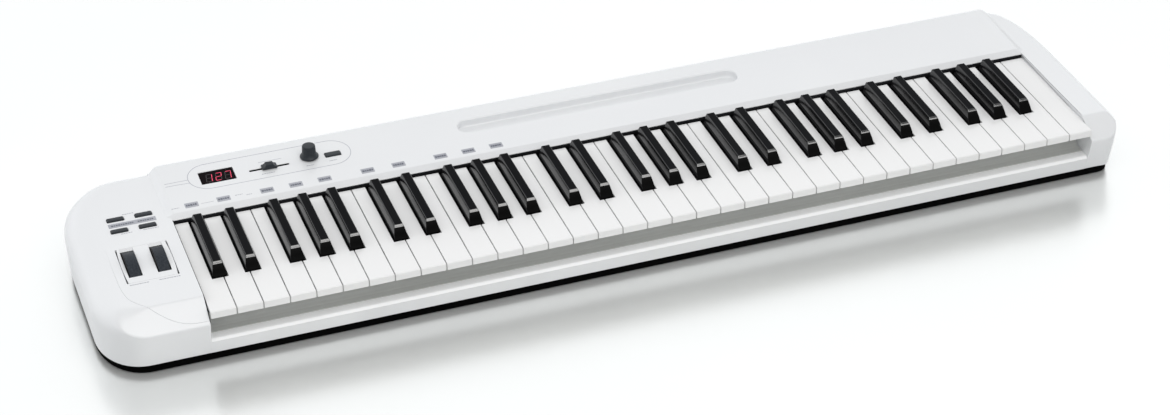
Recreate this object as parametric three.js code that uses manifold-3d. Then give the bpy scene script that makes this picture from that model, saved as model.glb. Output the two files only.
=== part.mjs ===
// Sixty-one key controller keyboard, in millimetres, +Z up.
//
// Design coordinates: x = 0 at the left side of the first white key, y = 0 at the front lip of the
// white keys, z = 0 at the top of the white keys. The whole group is then moved so that its origin
// is the centre of the footprint, on the surface that the keyboard stands on.

import * as THREE from 'three';
import { mergeVertices } from 'three/addons/utils/BufferGeometryUtils.js';
import Module from 'manifold-3d';

const wasm = await Module();
wasm.setup();

// ---------------------------------------------------------------- driving dimensions

const GAP = 0.4; // clearance between pieces that only touch
const WALL = 2.6; // thickness of the moulded case

const KEY_PITCH = 23.5; // one white key
const OCTAVES = 5;
const WHITES_PER_OCTAVE = 7;
const WHITE_COUNT = OCTAVES * WHITES_PER_OCTAVE + 1;
const KEYBED = WHITE_COUNT * KEY_PITCH;
const KEY_GAP = 0.9; // between neighbouring white keys
const WHITE_LENGTH = 143.4; // visible length
const WHITE_LIP = 7; // height of the front lip

const BLACK_BASE = 12.2;
const BLACK_TOP = 7.8;
const BLACK_FRONT = 49.6;
const BLACK_BACK = 138;
const BLACK_HEIGHT = 11.5;
const BLACK_CLEAR = 1.2; // slit beside a black key
const BLACK_FRONT_SLOPE = 6.4;
const BLACK_BACK_SLOPE = 1.5;
// [white boundary after which it sits, sideways shift]
const BLACK_PLACES = [[1, -3.0], [2, 3.0], [4, -3.7], [5, -0.2], [6, 3.3]];

const PIVOT = { y: 196, z: -5.75 }; // hinge line of every key
const TAIL_TOP = -2.5;
const TAIL_BOTTOM = -9;
const TAIL_END = 199.5;
const TAIL_TRIM = 2.8; // taken off both sides of a tail under the deck
const ROD_RADIUS = 1.5;
const ROD_BORE = 1.95;

const LEFT = -94.5; // case outline
const RIGHT = 880;
const FRONT = -1;
const BACK = 232;
const CASE_BOTTOM = -48.2;
const CHEEK_TOP = 4;
const FLOOR = -56.25; // what the feet stand on
const PAN_BOTTOM = -51;
const SKIRT_BOTTOM = -55.4; // of the band that shows below the top case
const RIM_TOP = -42; // rim of the bottom tray

const FACET_BACK = 21; // sloping front of each cheek
const FACET_DROP = 16;

const DECK_FRONT = 145;
const DECK_LIP = 3;
const DECK_EDGE = { y: 151, z: 6.5 };
const DECK_REAR = { y: 227.5, z: 10.2 };
const DECK_RAMP = 9;

const COLOURS = {
  shell: [0xe4e6ea, 0.35, 0.0],
  ivory: [0xf1f1ee, 0.25, 0.0],
  ebony: [0x161718, 0.3, 0.0],
  dark: [0x33363b, 0.6, 0.0],
  pan: [0x1b1c1e, 0.7, 0.0],
  steel: [0xa9adb2, 0.35, 0.9],
  board: [0x1f5c3a, 0.5, 0.0],
  window: [0x120406, 0.1, 0.0],
  rubber: [0x18181a, 0.85, 0.0],
};

// ---------------------------------------------------------------- solids

function toSolid(geometry) {
  const bare = geometry.clone();
  bare.deleteAttribute('normal');
  bare.deleteAttribute('uv');
  const merged = mergeVertices(bare, 1e-4);
  const vertProperties = new Float32Array(merged.attributes.position.array);
  const triVerts = new Uint32Array(merged.index.array);
  return new wasm.Manifold(new wasm.Mesh({ numProp: 3, vertProperties, triVerts }));
}

function toGeometry(solid) {
  const mesh = solid.getMesh();
  const geometry = new THREE.BufferGeometry();
  geometry.setAttribute('position', new THREE.BufferAttribute(mesh.vertProperties, 3));
  geometry.setIndex(new THREE.BufferAttribute(mesh.triVerts, 1));
  geometry.computeVertexNormals();
  return geometry;
}

function box(x0, x1, y0, y1, z0, z1) {
  const geometry = new THREE.BoxGeometry(x1 - x0, y1 - y0, z1 - z0);
  geometry.translate((x0 + x1) / 2, (y0 + y1) / 2, (z0 + z1) / 2);
  return toSolid(geometry);
}

// A prism whose section is given as [y, z] points, running along x.
function prismX(points, x0, x1, holes = []) {
  const shape = new THREE.Shape(points.map(([y, z]) => new THREE.Vector2(y, z)));
  shape.holes = holes.map((hole) => new THREE.Path(hole.map(([y, z]) => new THREE.Vector2(y, z))));
  const geometry = new THREE.ExtrudeGeometry(shape, { depth: x1 - x0, bevelEnabled: false });
  const axes = new THREE.Matrix4().makeBasis(
    new THREE.Vector3(0, 1, 0),
    new THREE.Vector3(0, 0, 1),
    new THREE.Vector3(1, 0, 0),
  );
  geometry.applyMatrix4(axes);
  geometry.translate(x0, 0, 0);
  return toSolid(geometry);
}

// A prism whose outline is given as [x, y] points, running up z.
function prismZ(points, z0, z1) {
  const shape = new THREE.Shape(points.map(([x, y]) => new THREE.Vector2(x, y)));
  const geometry = new THREE.ExtrudeGeometry(shape, { depth: z1 - z0, bevelEnabled: false });
  geometry.translate(0, 0, z0);
  return toSolid(geometry);
}

function ring(y, z, radius, sides) {
  return Array.from({ length: sides }, (_, i) => {
    const angle = ((i + 0.5) / sides) * 2 * Math.PI;
    return [y + radius * Math.cos(angle), z + radius * Math.sin(angle)];
  });
}

function rod(x0, x1, y, z, radius, sides = 16) {
  return prismX(ring(y, z, radius, sides), x0, x1);
}

// A round post standing along z.
function post(x, y, radius, z0, z1, sides = 24) {
  return prismZ(ring(x, y, radius, sides), z0, z1);
}

// Closed solid through loops of [x, y, z] points with the same count; the first and last are capped.
// The loops lie across x or across z, and follow each other along that axis.
function loft(sections) {
  const [first] = sections;
  const acrossX = first.every((point) => Math.abs(point[0] - first[0][0]) < 1e-6);
  const flatten = ([x, y, z]) => (acrossX ? new THREE.Vector2(y, z) : new THREE.Vector2(x, y));
  const clockwise = THREE.ShapeUtils.area(first.map(flatten)) < 0;
  const loops = clockwise ? sections.map((loop) => [...loop].reverse()) : sections;
  const count = first.length;
  const last = (loops.length - 1) * count;
  const index = [];
  THREE.ShapeUtils.triangulateShape(loops[0].map(flatten), []).forEach(([a, b, c]) => {
    index.push(a, c, b);
    index.push(last + a, last + b, last + c);
  });
  for (let row = 0; row < last; row += count) {
    for (let i = 0; i < count; i += 1) {
      const a = row + i;
      const b = row + ((i + 1) % count);
      index.push(a, b, b + count, a, b + count, a + count);
    }
  }
  const geometry = new THREE.BufferGeometry();
  geometry.setAttribute('position', new THREE.Float32BufferAttribute(loops.flat(2), 3));
  geometry.setIndex(index);
  return toSolid(geometry);
}

function joined(solids) {
  return solids.reduce((sum, solid) => sum.add(solid));
}

function cut(solid, cutters) {
  return cutters.reduce((rest, cutter) => rest.subtract(cutter), solid);
}

// ---------------------------------------------------------------- case

const CORNER_STEPS = 7;
const ROLL_HEIGHT = 17;
const SQUARENESS = 2.15; // of a corner in plan, where 2 is an ellipse
const LEFT_REAR_SQUARENESS = 2.6;
const RIGHT_FRONT_SQUARENESS = 2.8;
const CHEEKS = {
  left: {
    inner: -0.5,
    outer: LEFT,
    side: -1,
    front: [43, 62],
    frontSquareness: SQUARENESS,
    back: [60, 80],
    backSquareness: LEFT_REAR_SQUARENESS,
    roll: 30,
    backRoll: 9,
  },
  right: {
    inner: KEYBED + 0.5,
    outer: RIGHT,
    side: 1,
    front: [20, 34],
    frontSquareness: RIGHT_FRONT_SQUARENESS,
    back: [33, 95],
    backSquareness: SQUARENESS,
    roll: 13,
    backRoll: 5,
  },
};

function quarter(t, squareness = SQUARENESS) {
  const angle = (t * Math.PI) / 2;
  const power = 2 / squareness;
  return [Math.sin(angle) ** power, Math.cos(angle) ** power];
}

// Outline of one cheek, from its front inner corner round the outside to its rear inner corner.
// Each point also says which way is inwards and how wide the rounding above it is.
function cheekOutline(cheek) {
  const { inner, outer, side, front, back, roll, frontSquareness, backSquareness, backRoll } = cheek;
  const points = [{ x: inner, y: FRONT, nx: 0, ny: 1, roll: 2, undercut: 9 }];
  for (let i = 0; i <= CORNER_STEPS; i += 1) {
    const [s, c] = quarter(i / CORNER_STEPS, frontSquareness);
    const blend = s * s;
    points.push({
      x: outer - side * front[0] * (1 - s),
      y: FRONT + front[1] * (1 - c),
      nx: -side * s,
      ny: c,
      roll: 2 + (roll - 2) * blend,
      undercut: 9 - 7.5 * blend,
    });
  }
  for (let i = 0; i <= CORNER_STEPS; i += 1) {
    const [s, c] = quarter(1 - i / CORNER_STEPS, backSquareness);
    const blend = s * s;
    points.push({
      x: outer - side * back[0] * (1 - s),
      y: BACK - back[1] * (1 - c),
      nx: -side * s,
      ny: -c,
      roll: backRoll + (roll - backRoll) * blend,
      undercut: 1.5,
    });
  }
  points.push({ x: inner, y: BACK, nx: 0, ny: -1, roll: backRoll, undercut: 1.5 });
  return side < 0 ? points.reverse() : points;
}

// Solid of a cheek, shrunk all round by wall.
function cheekSolid(cheek, wall, bottom) {
  const outline = cheekOutline(cheek);
  const innerX = cheek.inner + cheek.side * wall;
  const place = (point, inset, z) => {
    const x = point.x + point.nx * (inset + wall);
    const y = point.y + point.ny * (inset + wall);
    const onInner = point.nx === 0;
    return [onInner ? innerX : x, y, z];
  };
  const shoulder = CHEEK_TOP - ROLL_HEIGHT - 0.5 - wall;
  const loops = [
    outline.map((point) => place(point, point.undercut, bottom)),
    outline.map((point) => place(point, 0, shoulder)),
  ];
  [0, 0.25, 0.5, 0.75, 1].forEach((t) => {
    const angle = (t * Math.PI) / 2;
    loops.push(outline.map((point) => {
      const height = Math.min(point.roll, ROLL_HEIGHT);
      const z = CHEEK_TOP - height * (1 - Math.sin(angle)) - wall;
      return place(point, point.roll * (1 - Math.cos(angle)), z);
    }));
  });
  return loft(loops);
}

// The wedge taken off the front of both cheeks.
function facetWedge(drop) {
  const reach = 20;
  const slope = FACET_DROP / (FACET_BACK - FRONT);
  return prismX(
    [
      [FACET_BACK, CHEEK_TOP - drop],
      [FACET_BACK, CHEEK_TOP + reach],
      [FRONT - reach, CHEEK_TOP + reach],
      [FRONT - reach, CHEEK_TOP - drop - slope * (FACET_BACK - FRONT + reach)],
    ],
    LEFT - reach,
    RIGHT + reach,
  );
}

function cheekShell(cheek) {
  const outer = cheekSolid(cheek, 0, CASE_BOTTOM).subtract(facetWedge(0));
  const inner = cheekSolid(cheek, WALL, CASE_BOTTOM - 1).subtract(facetWedge(WALL));
  return outer.subtract(inner);
}

// Section of the deck with its back wall, as one bent strip.
function deckSection(rise) {
  const lift = (z) => CHEEK_TOP + (z - CHEEK_TOP) * rise;
  return [
    [DECK_FRONT, DECK_LIP],
    [DECK_EDGE.y, lift(DECK_EDGE.z)],
    [DECK_REAR.y, lift(DECK_REAR.z)],
    [DECK_REAR.y + 3, lift(DECK_REAR.z) - 1.3],
    [BACK, lift(DECK_REAR.z) - 4.5],
    [BACK - 1.5, CASE_BOTTOM],
    [BACK - 1.5 - WALL, CASE_BOTTOM],
    [BACK - WALL, lift(DECK_REAR.z) - 5.2],
    [DECK_REAR.y - 0.6, lift(DECK_REAR.z) - WALL],
    [DECK_EDGE.y + 1, lift(DECK_EDGE.z) - WALL],
    [DECK_FRONT + 1.2, DECK_LIP - 2],
  ];
}

function deckStrip() {
  const left = CHEEKS.left.inner;
  const right = CHEEKS.right.inner;
  const stations = [
    [left - 5, 0.1],
    [left + DECK_RAMP - 5, 1],
    [right - DECK_RAMP + 5, 1],
    [right + 5, 0.1],
  ];
  return loft(stations.map(([x, rise]) => deckSection(rise).map(([y, z]) => [x, y, z])));
}

// Low rail that crosses in front of the keys, with the hollow that clears them when pressed.
function frontRail() {
  const section = [
    [8, CASE_BOTTOM],
    [4.4, -34],
    [5.2, -32.4],
    [7, -32],
    [14, -33.6],
    [21, -33.2],
    [25.5, -30.5],
    [28, -26],
    [28, -21],
    [28 + WALL, -21],
    [28 + WALL, -26.8],
    [27.3, -32.6],
    [21.8, -35.8],
    [14, -36.2],
    [8.2, -35],
    [11, CASE_BOTTOM],
  ];
  return prismX(section.reverse(), CHEEKS.left.inner - 1, CHEEKS.right.inner + 1);
}

const DECK_SLOPE = (DECK_REAR.z - DECK_EDGE.z) / (DECK_REAR.y - DECK_EDGE.y);
const deckZ = (y) => DECK_EDGE.z + DECK_SLOPE * (y - DECK_EDGE.y);

const GROOVE = { x0: 284, x1: 566, y0: 188, y1: 208, floor: 1.4 };
const DISPLAY = { x0: 37, x1: 68.5, y0: 186.5, y1: 205 };
const FADER = { x: 101, y: 193, slot: 38, width: 2.4, travel: 16 };
const KNOB = { x: 140, y: 197, shaft: 3 };
const DATA_BUTTON = { x0: 154.5, x1: 169, y0: 191.5, y1: 198.5 };
const CHEEK_BUTTONS = {
  octave_down_button: { x0: -56, x1: -41, y0: 160.5, y1: 166 },
  octave_up_button: { x0: -30.5, x1: -15.5, y0: 160.5, y1: 166 },
  transpose_down_button: { x0: -56, x1: -41, y0: 141.5, y1: 147 },
  transpose_up_button: { x0: -30.5, x1: -15.5, y0: 141.5, y1: 147 },
};
const WHEEL_WELL = { x0: -58.5, x1: -12.5, y0: 61, y1: 121 };
const WHEELS = {
  pitch_wheel: { x0: -54.3, x1: -43.8 },
  modulation_wheel: { x0: -28.6, x1: -18.1 },
};
const WHEEL_CENTRE = { y: 91, z: -22.5 };
const WHEEL_RADIUS = 32;
const SOCKETS = {
  y0: 212,
  z: -11,
  usb: { x: 40, width: 12, height: 11 },
  round: [{ x: 70, radius: 7.5 }, { x: 98, radius: 4.8 }],
};

function slot(x0, x1, y0, y1, z0, z1) {
  const radius = (y1 - y0) / 2;
  const y = (y0 + y1) / 2;
  return joined([
    box(x0 + radius, x1 - radius, y0, y1, z0, z1),
    post(x0 + radius, y, radius, z0, z1),
    post(x1 - radius, y, radius, z0, z1),
  ]);
}

function opening(rect, margin, z0, z1) {
  return box(rect.x0 - margin, rect.x1 + margin, rect.y0 - margin, rect.y1 + margin, z0, z1);
}

// A prism along y with a round section.
function socketBore(x, z, radius, y0, y1) {
  const turn = new THREE.Matrix4().makeBasis(
    new THREE.Vector3(1, 0, 0),
    new THREE.Vector3(0, 0, -1),
    new THREE.Vector3(0, 1, 0),
  );
  const shape = new THREE.Shape(ring(0, 0, radius, 16).map(([u, v]) => new THREE.Vector2(u, v)));
  const geometry = new THREE.ExtrudeGeometry(shape, { depth: y1 - y0, bevelEnabled: false });
  geometry.applyMatrix4(turn);
  geometry.translate(x, y0, z);
  return toSolid(geometry);
}

function socketHoles(margin, y0, y1) {
  const { usb, round, z } = SOCKETS;
  const half = usb.width / 2 + margin;
  const tall = usb.height / 2 + margin;
  return [
    box(usb.x - half, usb.x + half, y0, y1, z - tall, z + tall),
    ...round.map(({ x, radius }) => socketBore(x, z, radius + margin, y0, y1)),
  ];
}

function topCase() {
  const low = -4;
  const high = 20;
  const trough = slot(
    GROOVE.x0 - WALL,
    GROOVE.x1 + WALL,
    GROOVE.y0 - WALL,
    GROOVE.y1 + WALL,
    GROOVE.floor - WALL,
    deckZ(GROOVE.y0 - WALL) - 0.2,
  );
  const shell = joined([
    cheekShell(CHEEKS.left),
    cheekShell(CHEEKS.right),
    deckStrip(),
    frontRail(),
    trough,
  ]);
  const inner = WALL + 2;
  const cutters = [
    ...Object.values(CHEEKS).map((cheek) => (
      box(cheek.inner - inner, cheek.inner + inner, 13.5, BACK - 5, CASE_BOTTOM - 1, RIM_TOP + 1)
    )),
    slot(GROOVE.x0, GROOVE.x1, GROOVE.y0, GROOVE.y1, GROOVE.floor, high),
    opening(DISPLAY, GAP, low, high),
    slot(FADER.x - FADER.slot / 2, FADER.x + FADER.slot / 2, FADER.y - FADER.width / 2,
      FADER.y + FADER.width / 2, low, high),
    post(KNOB.x, KNOB.y, KNOB.shaft + GAP, low, high),
    opening(DATA_BUTTON, GAP, low, high),
    ...Object.values(CHEEK_BUTTONS).map((button) => opening(button, GAP, low, high)),
    opening(WHEEL_WELL, GAP, low, high),
    ...socketHoles(GAP, BACK - 6, BACK + 4),
  ];
  return cut(shell, cutters);
}

// The dark tray underneath: a plate with a rim that stands inside the top case.
function panOutline(inset) {
  const x0 = LEFT + 2 + inset;
  const x1 = RIGHT - 2 - inset;
  const y0 = FRONT + 9 + inset;
  const y1 = BACK - 2 - inset;
  const corners = [
    [x0, y0, 1, 1, 42, 58],
    [x1, y0, -1, 1, 18, 30, RIGHT_FRONT_SQUARENESS],
    [x1, y1, -1, -1, 31, 92],
    [x0, y1, 1, -1, 58, 78, LEFT_REAR_SQUARENESS],
  ];
  return corners.flatMap(([x, y, sx, sy, a, b, squareness], corner) => {
    const arc = Array.from({ length: CORNER_STEPS + 1 }, (_, i) => {
      const [s, c] = quarter(i / CORNER_STEPS, squareness);
      return [x + sx * a * (1 - s), y + sy * b * (1 - c)];
    });
    return corner % 2 ? arc : arc.reverse();
  });
}

function bottomCase() {
  const inset = 6;
  const plateTop = PAN_BOTTOM + WALL;
  const outer = prismZ(panOutline(inset), PAN_BOTTOM, RIM_TOP);
  const hollow = prismZ(panOutline(inset + WALL), plateTop, RIM_TOP + 1);
  const ribs = [100, 250, 400, 550, 700].map((x) => box(x, x + 2, 40, 200, plateTop - 1, plateTop + 4));
  const skirt = prismZ(panOutline(0.2), SKIRT_BOTTOM, CASE_BOTTOM - 0.3)
    .subtract(prismZ(panOutline(inset + 0.5), SKIRT_BOTTOM - 1, CASE_BOTTOM));
  return joined([outer.subtract(hollow), skirt, ...ribs]);
}

// ---------------------------------------------------------------- keys

function blackCentres() {
  return BLACK_PLACES.map(([boundary, shift]) => boundary * KEY_PITCH + shift);
}

function allBlackCentres() {
  return Array.from({ length: OCTAVES }, (_, octave) => (
    blackCentres().map((x) => x + octave * WHITES_PER_OCTAVE * KEY_PITCH)
  )).flat();
}

function whiteProfile() {
  return [
    [0, -WHITE_LIP],
    [0, -1.6],
    [0.5, -0.5],
    [1.6, 0],
    [WHITE_LENGTH, 0],
    [WHITE_LENGTH, TAIL_TOP],
    [TAIL_END, TAIL_TOP],
    [TAIL_END, TAIL_BOTTOM],
    [24, TAIL_BOTTOM],
    [20, -3.6],
    [2.4, -3.6],
    [2.4, -WHITE_LIP],
  ];
}

function whiteKey(index) {
  const x0 = index * KEY_PITCH + KEY_GAP / 2;
  const x1 = (index + 1) * KEY_PITCH - KEY_GAP / 2;
  const bore = ring(PIVOT.y, PIVOT.z, ROD_BORE, 12);
  const bar = prismX(whiteProfile(), x0, x1, [bore]);
  const half = BLACK_BASE / 2 + BLACK_CLEAR;
  const notches = allBlackCentres()
    .filter((x) => x + half > x0 && x - half < x1)
    .map((x) => box(x - half, x + half, BLACK_FRONT - BLACK_CLEAR, TAIL_END + 5, -20, 5));
  const trims = [x0, x1].map((x) => (
    box(x - TAIL_TRIM, x + TAIL_TRIM, WHITE_LENGTH + 4, TAIL_END + 5, -20, 5)
  ));
  return cut(bar, [...notches, ...trims]);
}

function blackBlock(x) {
  const base = BLACK_BASE / 2;
  const top = BLACK_TOP / 2;
  const rect = (half, y0, y1, z) => [
    [x - half, y0, z],
    [x + half, y0, z],
    [x + half, y1, z],
    [x - half, y1, z],
  ];
  const front = BLACK_FRONT + BLACK_FRONT_SLOPE;
  const back = BLACK_BACK - BLACK_BACK_SLOPE;
  return loft([
    rect(base, BLACK_FRONT, BLACK_BACK, -6),
    rect(base, BLACK_FRONT, BLACK_BACK, 0.5),
    rect(top + 0.9, front - 1.2, back, BLACK_HEIGHT - 0.9),
    rect(top, front, back, BLACK_HEIGHT),
  ]);
}

function blackComb(octave) {
  const start = octave * WHITES_PER_OCTAVE * KEY_PITCH;
  const centres = blackCentres().map((x) => x + start);
  const arm = BLACK_BASE / 2 - 1;
  const railBack = 207;
  const railFront = TAIL_END + 2;
  const pieces = centres.flatMap((x) => [
    blackBlock(x),
    box(x - arm, x + arm, BLACK_BACK - 30, railFront + 1, TAIL_BOTTOM, TAIL_TOP),
  ]);
  const rail = box(centres[0] - arm, centres[4] + arm, railFront, railBack, TAIL_BOTTOM, TAIL_TOP);
  const bore = rod(start, start + WHITES_PER_OCTAVE * KEY_PITCH, PIVOT.y, PIVOT.z, ROD_BORE, 12);
  return joined([...pieces, rail]).subtract(bore);
}

// ---------------------------------------------------------------- inside

const BED = { x0: 3, x1: KEYBED - 3, y0: 34, y1: 221, z0: -40, z1: -38 };

function keyChassis() {
  const { x0, x1, y0, y1, z0, z1 } = BED;
  const ridge = TAIL_BOTTOM - GAP;
  const cheek = (x) => box(x, x + 1.6, PIVOT.y - 10, PIVOT.y + 8, z0, -1.5);
  const postTop = -24 - GAP;
  const posts = [60, 240, 420, 600, 780].flatMap((x) => [102, 170].map((y) => (
    post(x, y, 3, z0 + 0.5, postTop, 12)
  )));
  const solid = joined([
    box(x0 - 2.5, x1 + 2.5, y0, y1, z0, z1),
    box(x0, x1, y0, y0 + 2, z0, -20),
    box(x0, x1, y1 - 2, y1, z0, -24),
    box(x0 + 3, x1 - 3, PIVOT.y - 1.5, PIVOT.y + 1.5, z0, ridge),
    cheek(x0 - 2.5),
    cheek(x1 + 0.9),
    ...posts,
  ]);
  return solid.subtract(rod(x0 - 4, x1 + 4, PIVOT.y, PIVOT.z, ROD_BORE, 12));
}

function contactBoard() {
  const strip = (y) => box(10, KEYBED - 10, y, y + 9, -23, -17.5);
  return joined([box(6, KEYBED - 6, 97, 176, -24, -22.4), strip(106), strip(140)]);
}

// Board under the deck: display, fader track, encoder and switch above it, sockets below it.
function controlBoard() {
  const top = 2.4;
  const { usb, round, z, y0 } = SOCKETS;
  const shellBack = BACK - WALL - 1.8;
  const bodies = [
    box(22, 176, 174, 224, 0.9, top),
    box(DISPLAY.x0 + 1, DISPLAY.x1 - 1, DISPLAY.y0 + 1, DISPLAY.y1 - 1, top - 0.5, 5.6),
    box(FADER.x - 24, FADER.x + 24, FADER.y - 4, FADER.y + 4, top - 0.5, 3.4),
    box(usb.x - 9, usb.x + 9, y0, shellBack, z - 8, 1),
    ...round.map(({ x, radius }) => box(x - radius - 2.5, x + radius + 2.5, y0, shellBack, z - 10, 1)),
  ];
  const encoder = post(KNOB.x, KNOB.y, KNOB.shaft, top - 0.5, 14, 16);
  return cut(joined([...bodies, encoder]), socketHoles(0, y0 + 2, BACK));
}

function hingeRod() {
  return rod(0.2, KEYBED - 0.2, PIVOT.y, PIVOT.z, ROD_RADIUS, 12);
}

function footStrip(y) {
  return slot(-20, 806, y, y + 12, FLOOR, PAN_BOTTOM - GAP + 0.1);
}

// ---------------------------------------------------------------- controls

function displayWindow() {
  const { x0, x1, y0, y1 } = DISPLAY;
  const section = [
    [y0, 6.2],
    [y1, 6.2],
    [y1, deckZ(y1)],
    [y0, deckZ(y0)],
  ];
  return prismX(section, x0, x1);
}

function faderCap() {
  const base = deckZ(FADER.y) + 0.5;
  const section = [
    [FADER.y - 4.5, base],
    [FADER.y + 4.5, base],
    [FADER.y + 3.6, base + 3.8],
    [FADER.y + 1.2, base + 3.2],
    [FADER.y - 1.2, base + 3.2],
    [FADER.y - 3.6, base + 3.8],
  ];
  const cap = prismX(section, FADER.x - 7.5, FADER.x + 7.5);
  const stem = box(FADER.x - 2, FADER.x + 2, FADER.y - 0.7, FADER.y + 0.7, 4.2, base + 1);
  return cap.add(stem);
}

function dataKnob() {
  const base = deckZ(KNOB.y) + 0.6;
  const profile = [
    [0, 0],
    [8.2, 0],
    [8.4, 1],
    [7.2, 3.6],
    [6.6, 4.6],
    [6.3, 11.4],
    [5.6, 12.2],
    [0, 12.4],
  ].map(([r, z]) => new THREE.Vector2(r, z));
  const geometry = new THREE.LatheGeometry(profile, 32);
  geometry.rotateX(Math.PI / 2);
  geometry.translate(KNOB.x, KNOB.y, base);
  const bore = post(KNOB.x, KNOB.y, KNOB.shaft + GAP, base - 1, 14 + GAP, 16);
  return toSolid(geometry).subtract(bore);
}

function button({ x0, x1, y0, y1 }, top, under) {
  const flange = 1;
  const flangeTop = under - GAP;
  return box(x0, x1, y0, y1, flangeTop - 1.2, top).add(
    box(x0 - flange - GAP, x1 + flange + GAP, y0 - flange, y1 + flange, flangeTop - 1.6, flangeTop),
  );
}

function wheel({ x0, x1 }) {
  const { y, z } = WHEEL_CENTRE;
  const spread = 78;
  const steps = 26;
  const rim = Array.from({ length: steps + 1 }, (_, i) => {
    const angle = THREE.MathUtils.degToRad(90 - spread + (2 * spread * i) / steps);
    return [y + WHEEL_RADIUS * Math.cos(angle), z + WHEEL_RADIUS * Math.sin(angle)];
  });
  const sector = prismX([...rim, [y - 7, z - 5], [y + 7, z - 5]], x0, x1);
  const hub = rod(x0, x1, y, z, 9, 20);
  const pin = rod(x0 - 2.2, x1 + 2.2, y, z, 3, 16);
  return joined([sector, hub, pin]);
}

// Recessed plate with a slot for each wheel, and the webs that carry the wheel pins.
function wheelFrame() {
  const { x0, x1, y0, y1 } = WHEEL_WELL;
  const top = 2;
  const side = 0.8;
  const plate = box(x0, x1, y0, y1, top - 2.2, top);
  const bearingY = [WHEEL_CENTRE.y - 9, WHEEL_CENTRE.y + 9];
  const web = (from, to) => box(from, to, bearingY[0], bearingY[1], -34, top - 1);
  const { pitch_wheel: pitch, modulation_wheel: mod } = WHEELS;
  const webs = [
    web(x0, pitch.x0 - side),
    web(pitch.x1 + side, pitch.x1 + side + 3),
    web(mod.x0 - side - 3, mod.x0 - side),
    web(mod.x1 + side, x1),
  ];
  const slots = Object.values(WHEELS).map((place) => (
    box(place.x0 - side, place.x1 + side, y0 + 4.5, y1 - 4.5, -10, 10)
  ));
  const pins = Object.values(WHEELS).map((place) => (
    rod(place.x0 - 2.2 - GAP, place.x1 + 2.2 + GAP, WHEEL_CENTRE.y, WHEEL_CENTRE.z, 3 + GAP, 16)
  ));
  return cut(joined([plate, ...webs]), [...slots, ...pins]);
}

// ---------------------------------------------------------------- assembly

const keyboard = new THREE.Group();

function addPiece(name, solid, finish) {
  const [color, roughness, metalness] = COLOURS[finish];
  const material = new THREE.MeshStandardMaterial({ color, roughness, metalness });
  const mesh = new THREE.Mesh(toGeometry(solid), material);
  mesh.name = name;
  keyboard.add(mesh);
}

addPiece('top_case', topCase(), 'shell');
addPiece('bottom_case', bottomCase(), 'pan');
addPiece('key_chassis', keyChassis(), 'steel');
addPiece('hinge_rod', hingeRod(), 'steel');
addPiece('contact_board', contactBoard(), 'board');
addPiece('control_board', controlBoard(), 'board');
addPiece('wheel_frame', wheelFrame(), 'shell');
addPiece('display_window', displayWindow(), 'window');
addPiece('front_foot_strip', footStrip(30), 'rubber');
addPiece('rear_foot_strip', footStrip(196), 'rubber');

Object.entries(WHEELS).forEach(([name, place]) => addPiece(name, wheel(place), 'dark'));
addPiece('fader_cap', faderCap(), 'dark');
addPiece('data_knob', dataKnob(), 'dark');
addPiece('data_button', button(DATA_BUTTON, deckZ(196) + 0.8, deckZ(192) - WALL), 'dark');
Object.entries(CHEEK_BUTTONS).forEach(([name, place]) => {
  addPiece(name, button(place, CHEEK_TOP + 1.2, CHEEK_TOP - WALL), 'dark');
});

const NOTES = ['c', 'd', 'e', 'f', 'g', 'a', 'b'];
for (let i = 0; i < WHITE_COUNT; i += 1) {
  const octave = Math.floor(i / WHITES_PER_OCTAVE) + 2;
  addPiece(`white_key_${NOTES[i % WHITES_PER_OCTAVE]}${octave}`, whiteKey(i), 'ivory');
}
for (let octave = 0; octave < OCTAVES; octave += 1) {
  addPiece(`black_keys_octave_${octave + 2}`, blackComb(octave), 'ebony');
}

keyboard.position.set(-(LEFT + RIGHT) / 2, -(FRONT + BACK) / 2, -FLOOR);

export default keyboard;
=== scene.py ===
"""Looks of a sixty-one key controller keyboard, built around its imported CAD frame.

Shapes are modelled in design millimetres: x = 0 at the left side of the first white key, y = 0 at the
front lip of the white keys, z = 0 at the top of the white keys. TO_FRAME takes them to the row frame.
"""

import math

import bmesh
import bpy
from mathutils import Matrix, Vector


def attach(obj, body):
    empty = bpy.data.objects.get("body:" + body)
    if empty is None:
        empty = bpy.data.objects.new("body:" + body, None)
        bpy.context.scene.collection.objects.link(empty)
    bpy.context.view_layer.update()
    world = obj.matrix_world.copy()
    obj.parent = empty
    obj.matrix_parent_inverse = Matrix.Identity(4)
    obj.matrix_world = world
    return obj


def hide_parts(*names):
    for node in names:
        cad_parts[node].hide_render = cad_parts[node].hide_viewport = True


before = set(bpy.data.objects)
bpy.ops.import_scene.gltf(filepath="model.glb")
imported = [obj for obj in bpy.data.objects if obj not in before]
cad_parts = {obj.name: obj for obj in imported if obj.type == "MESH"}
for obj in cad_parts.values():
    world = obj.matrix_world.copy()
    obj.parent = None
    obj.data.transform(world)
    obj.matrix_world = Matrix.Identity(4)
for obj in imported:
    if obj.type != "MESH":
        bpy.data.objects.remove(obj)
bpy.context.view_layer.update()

# ---- dimensions, in design millimetres

TO_FRAME = Matrix.Scale(0.001, 4) @ Matrix.Translation((-392.75, -115.5, 56.25))

GAP = 0.4
WALL = 2.6
SMOOTH_ANGLE = 35  # degrees, the sharpest turn that is shaded smooth

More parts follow.
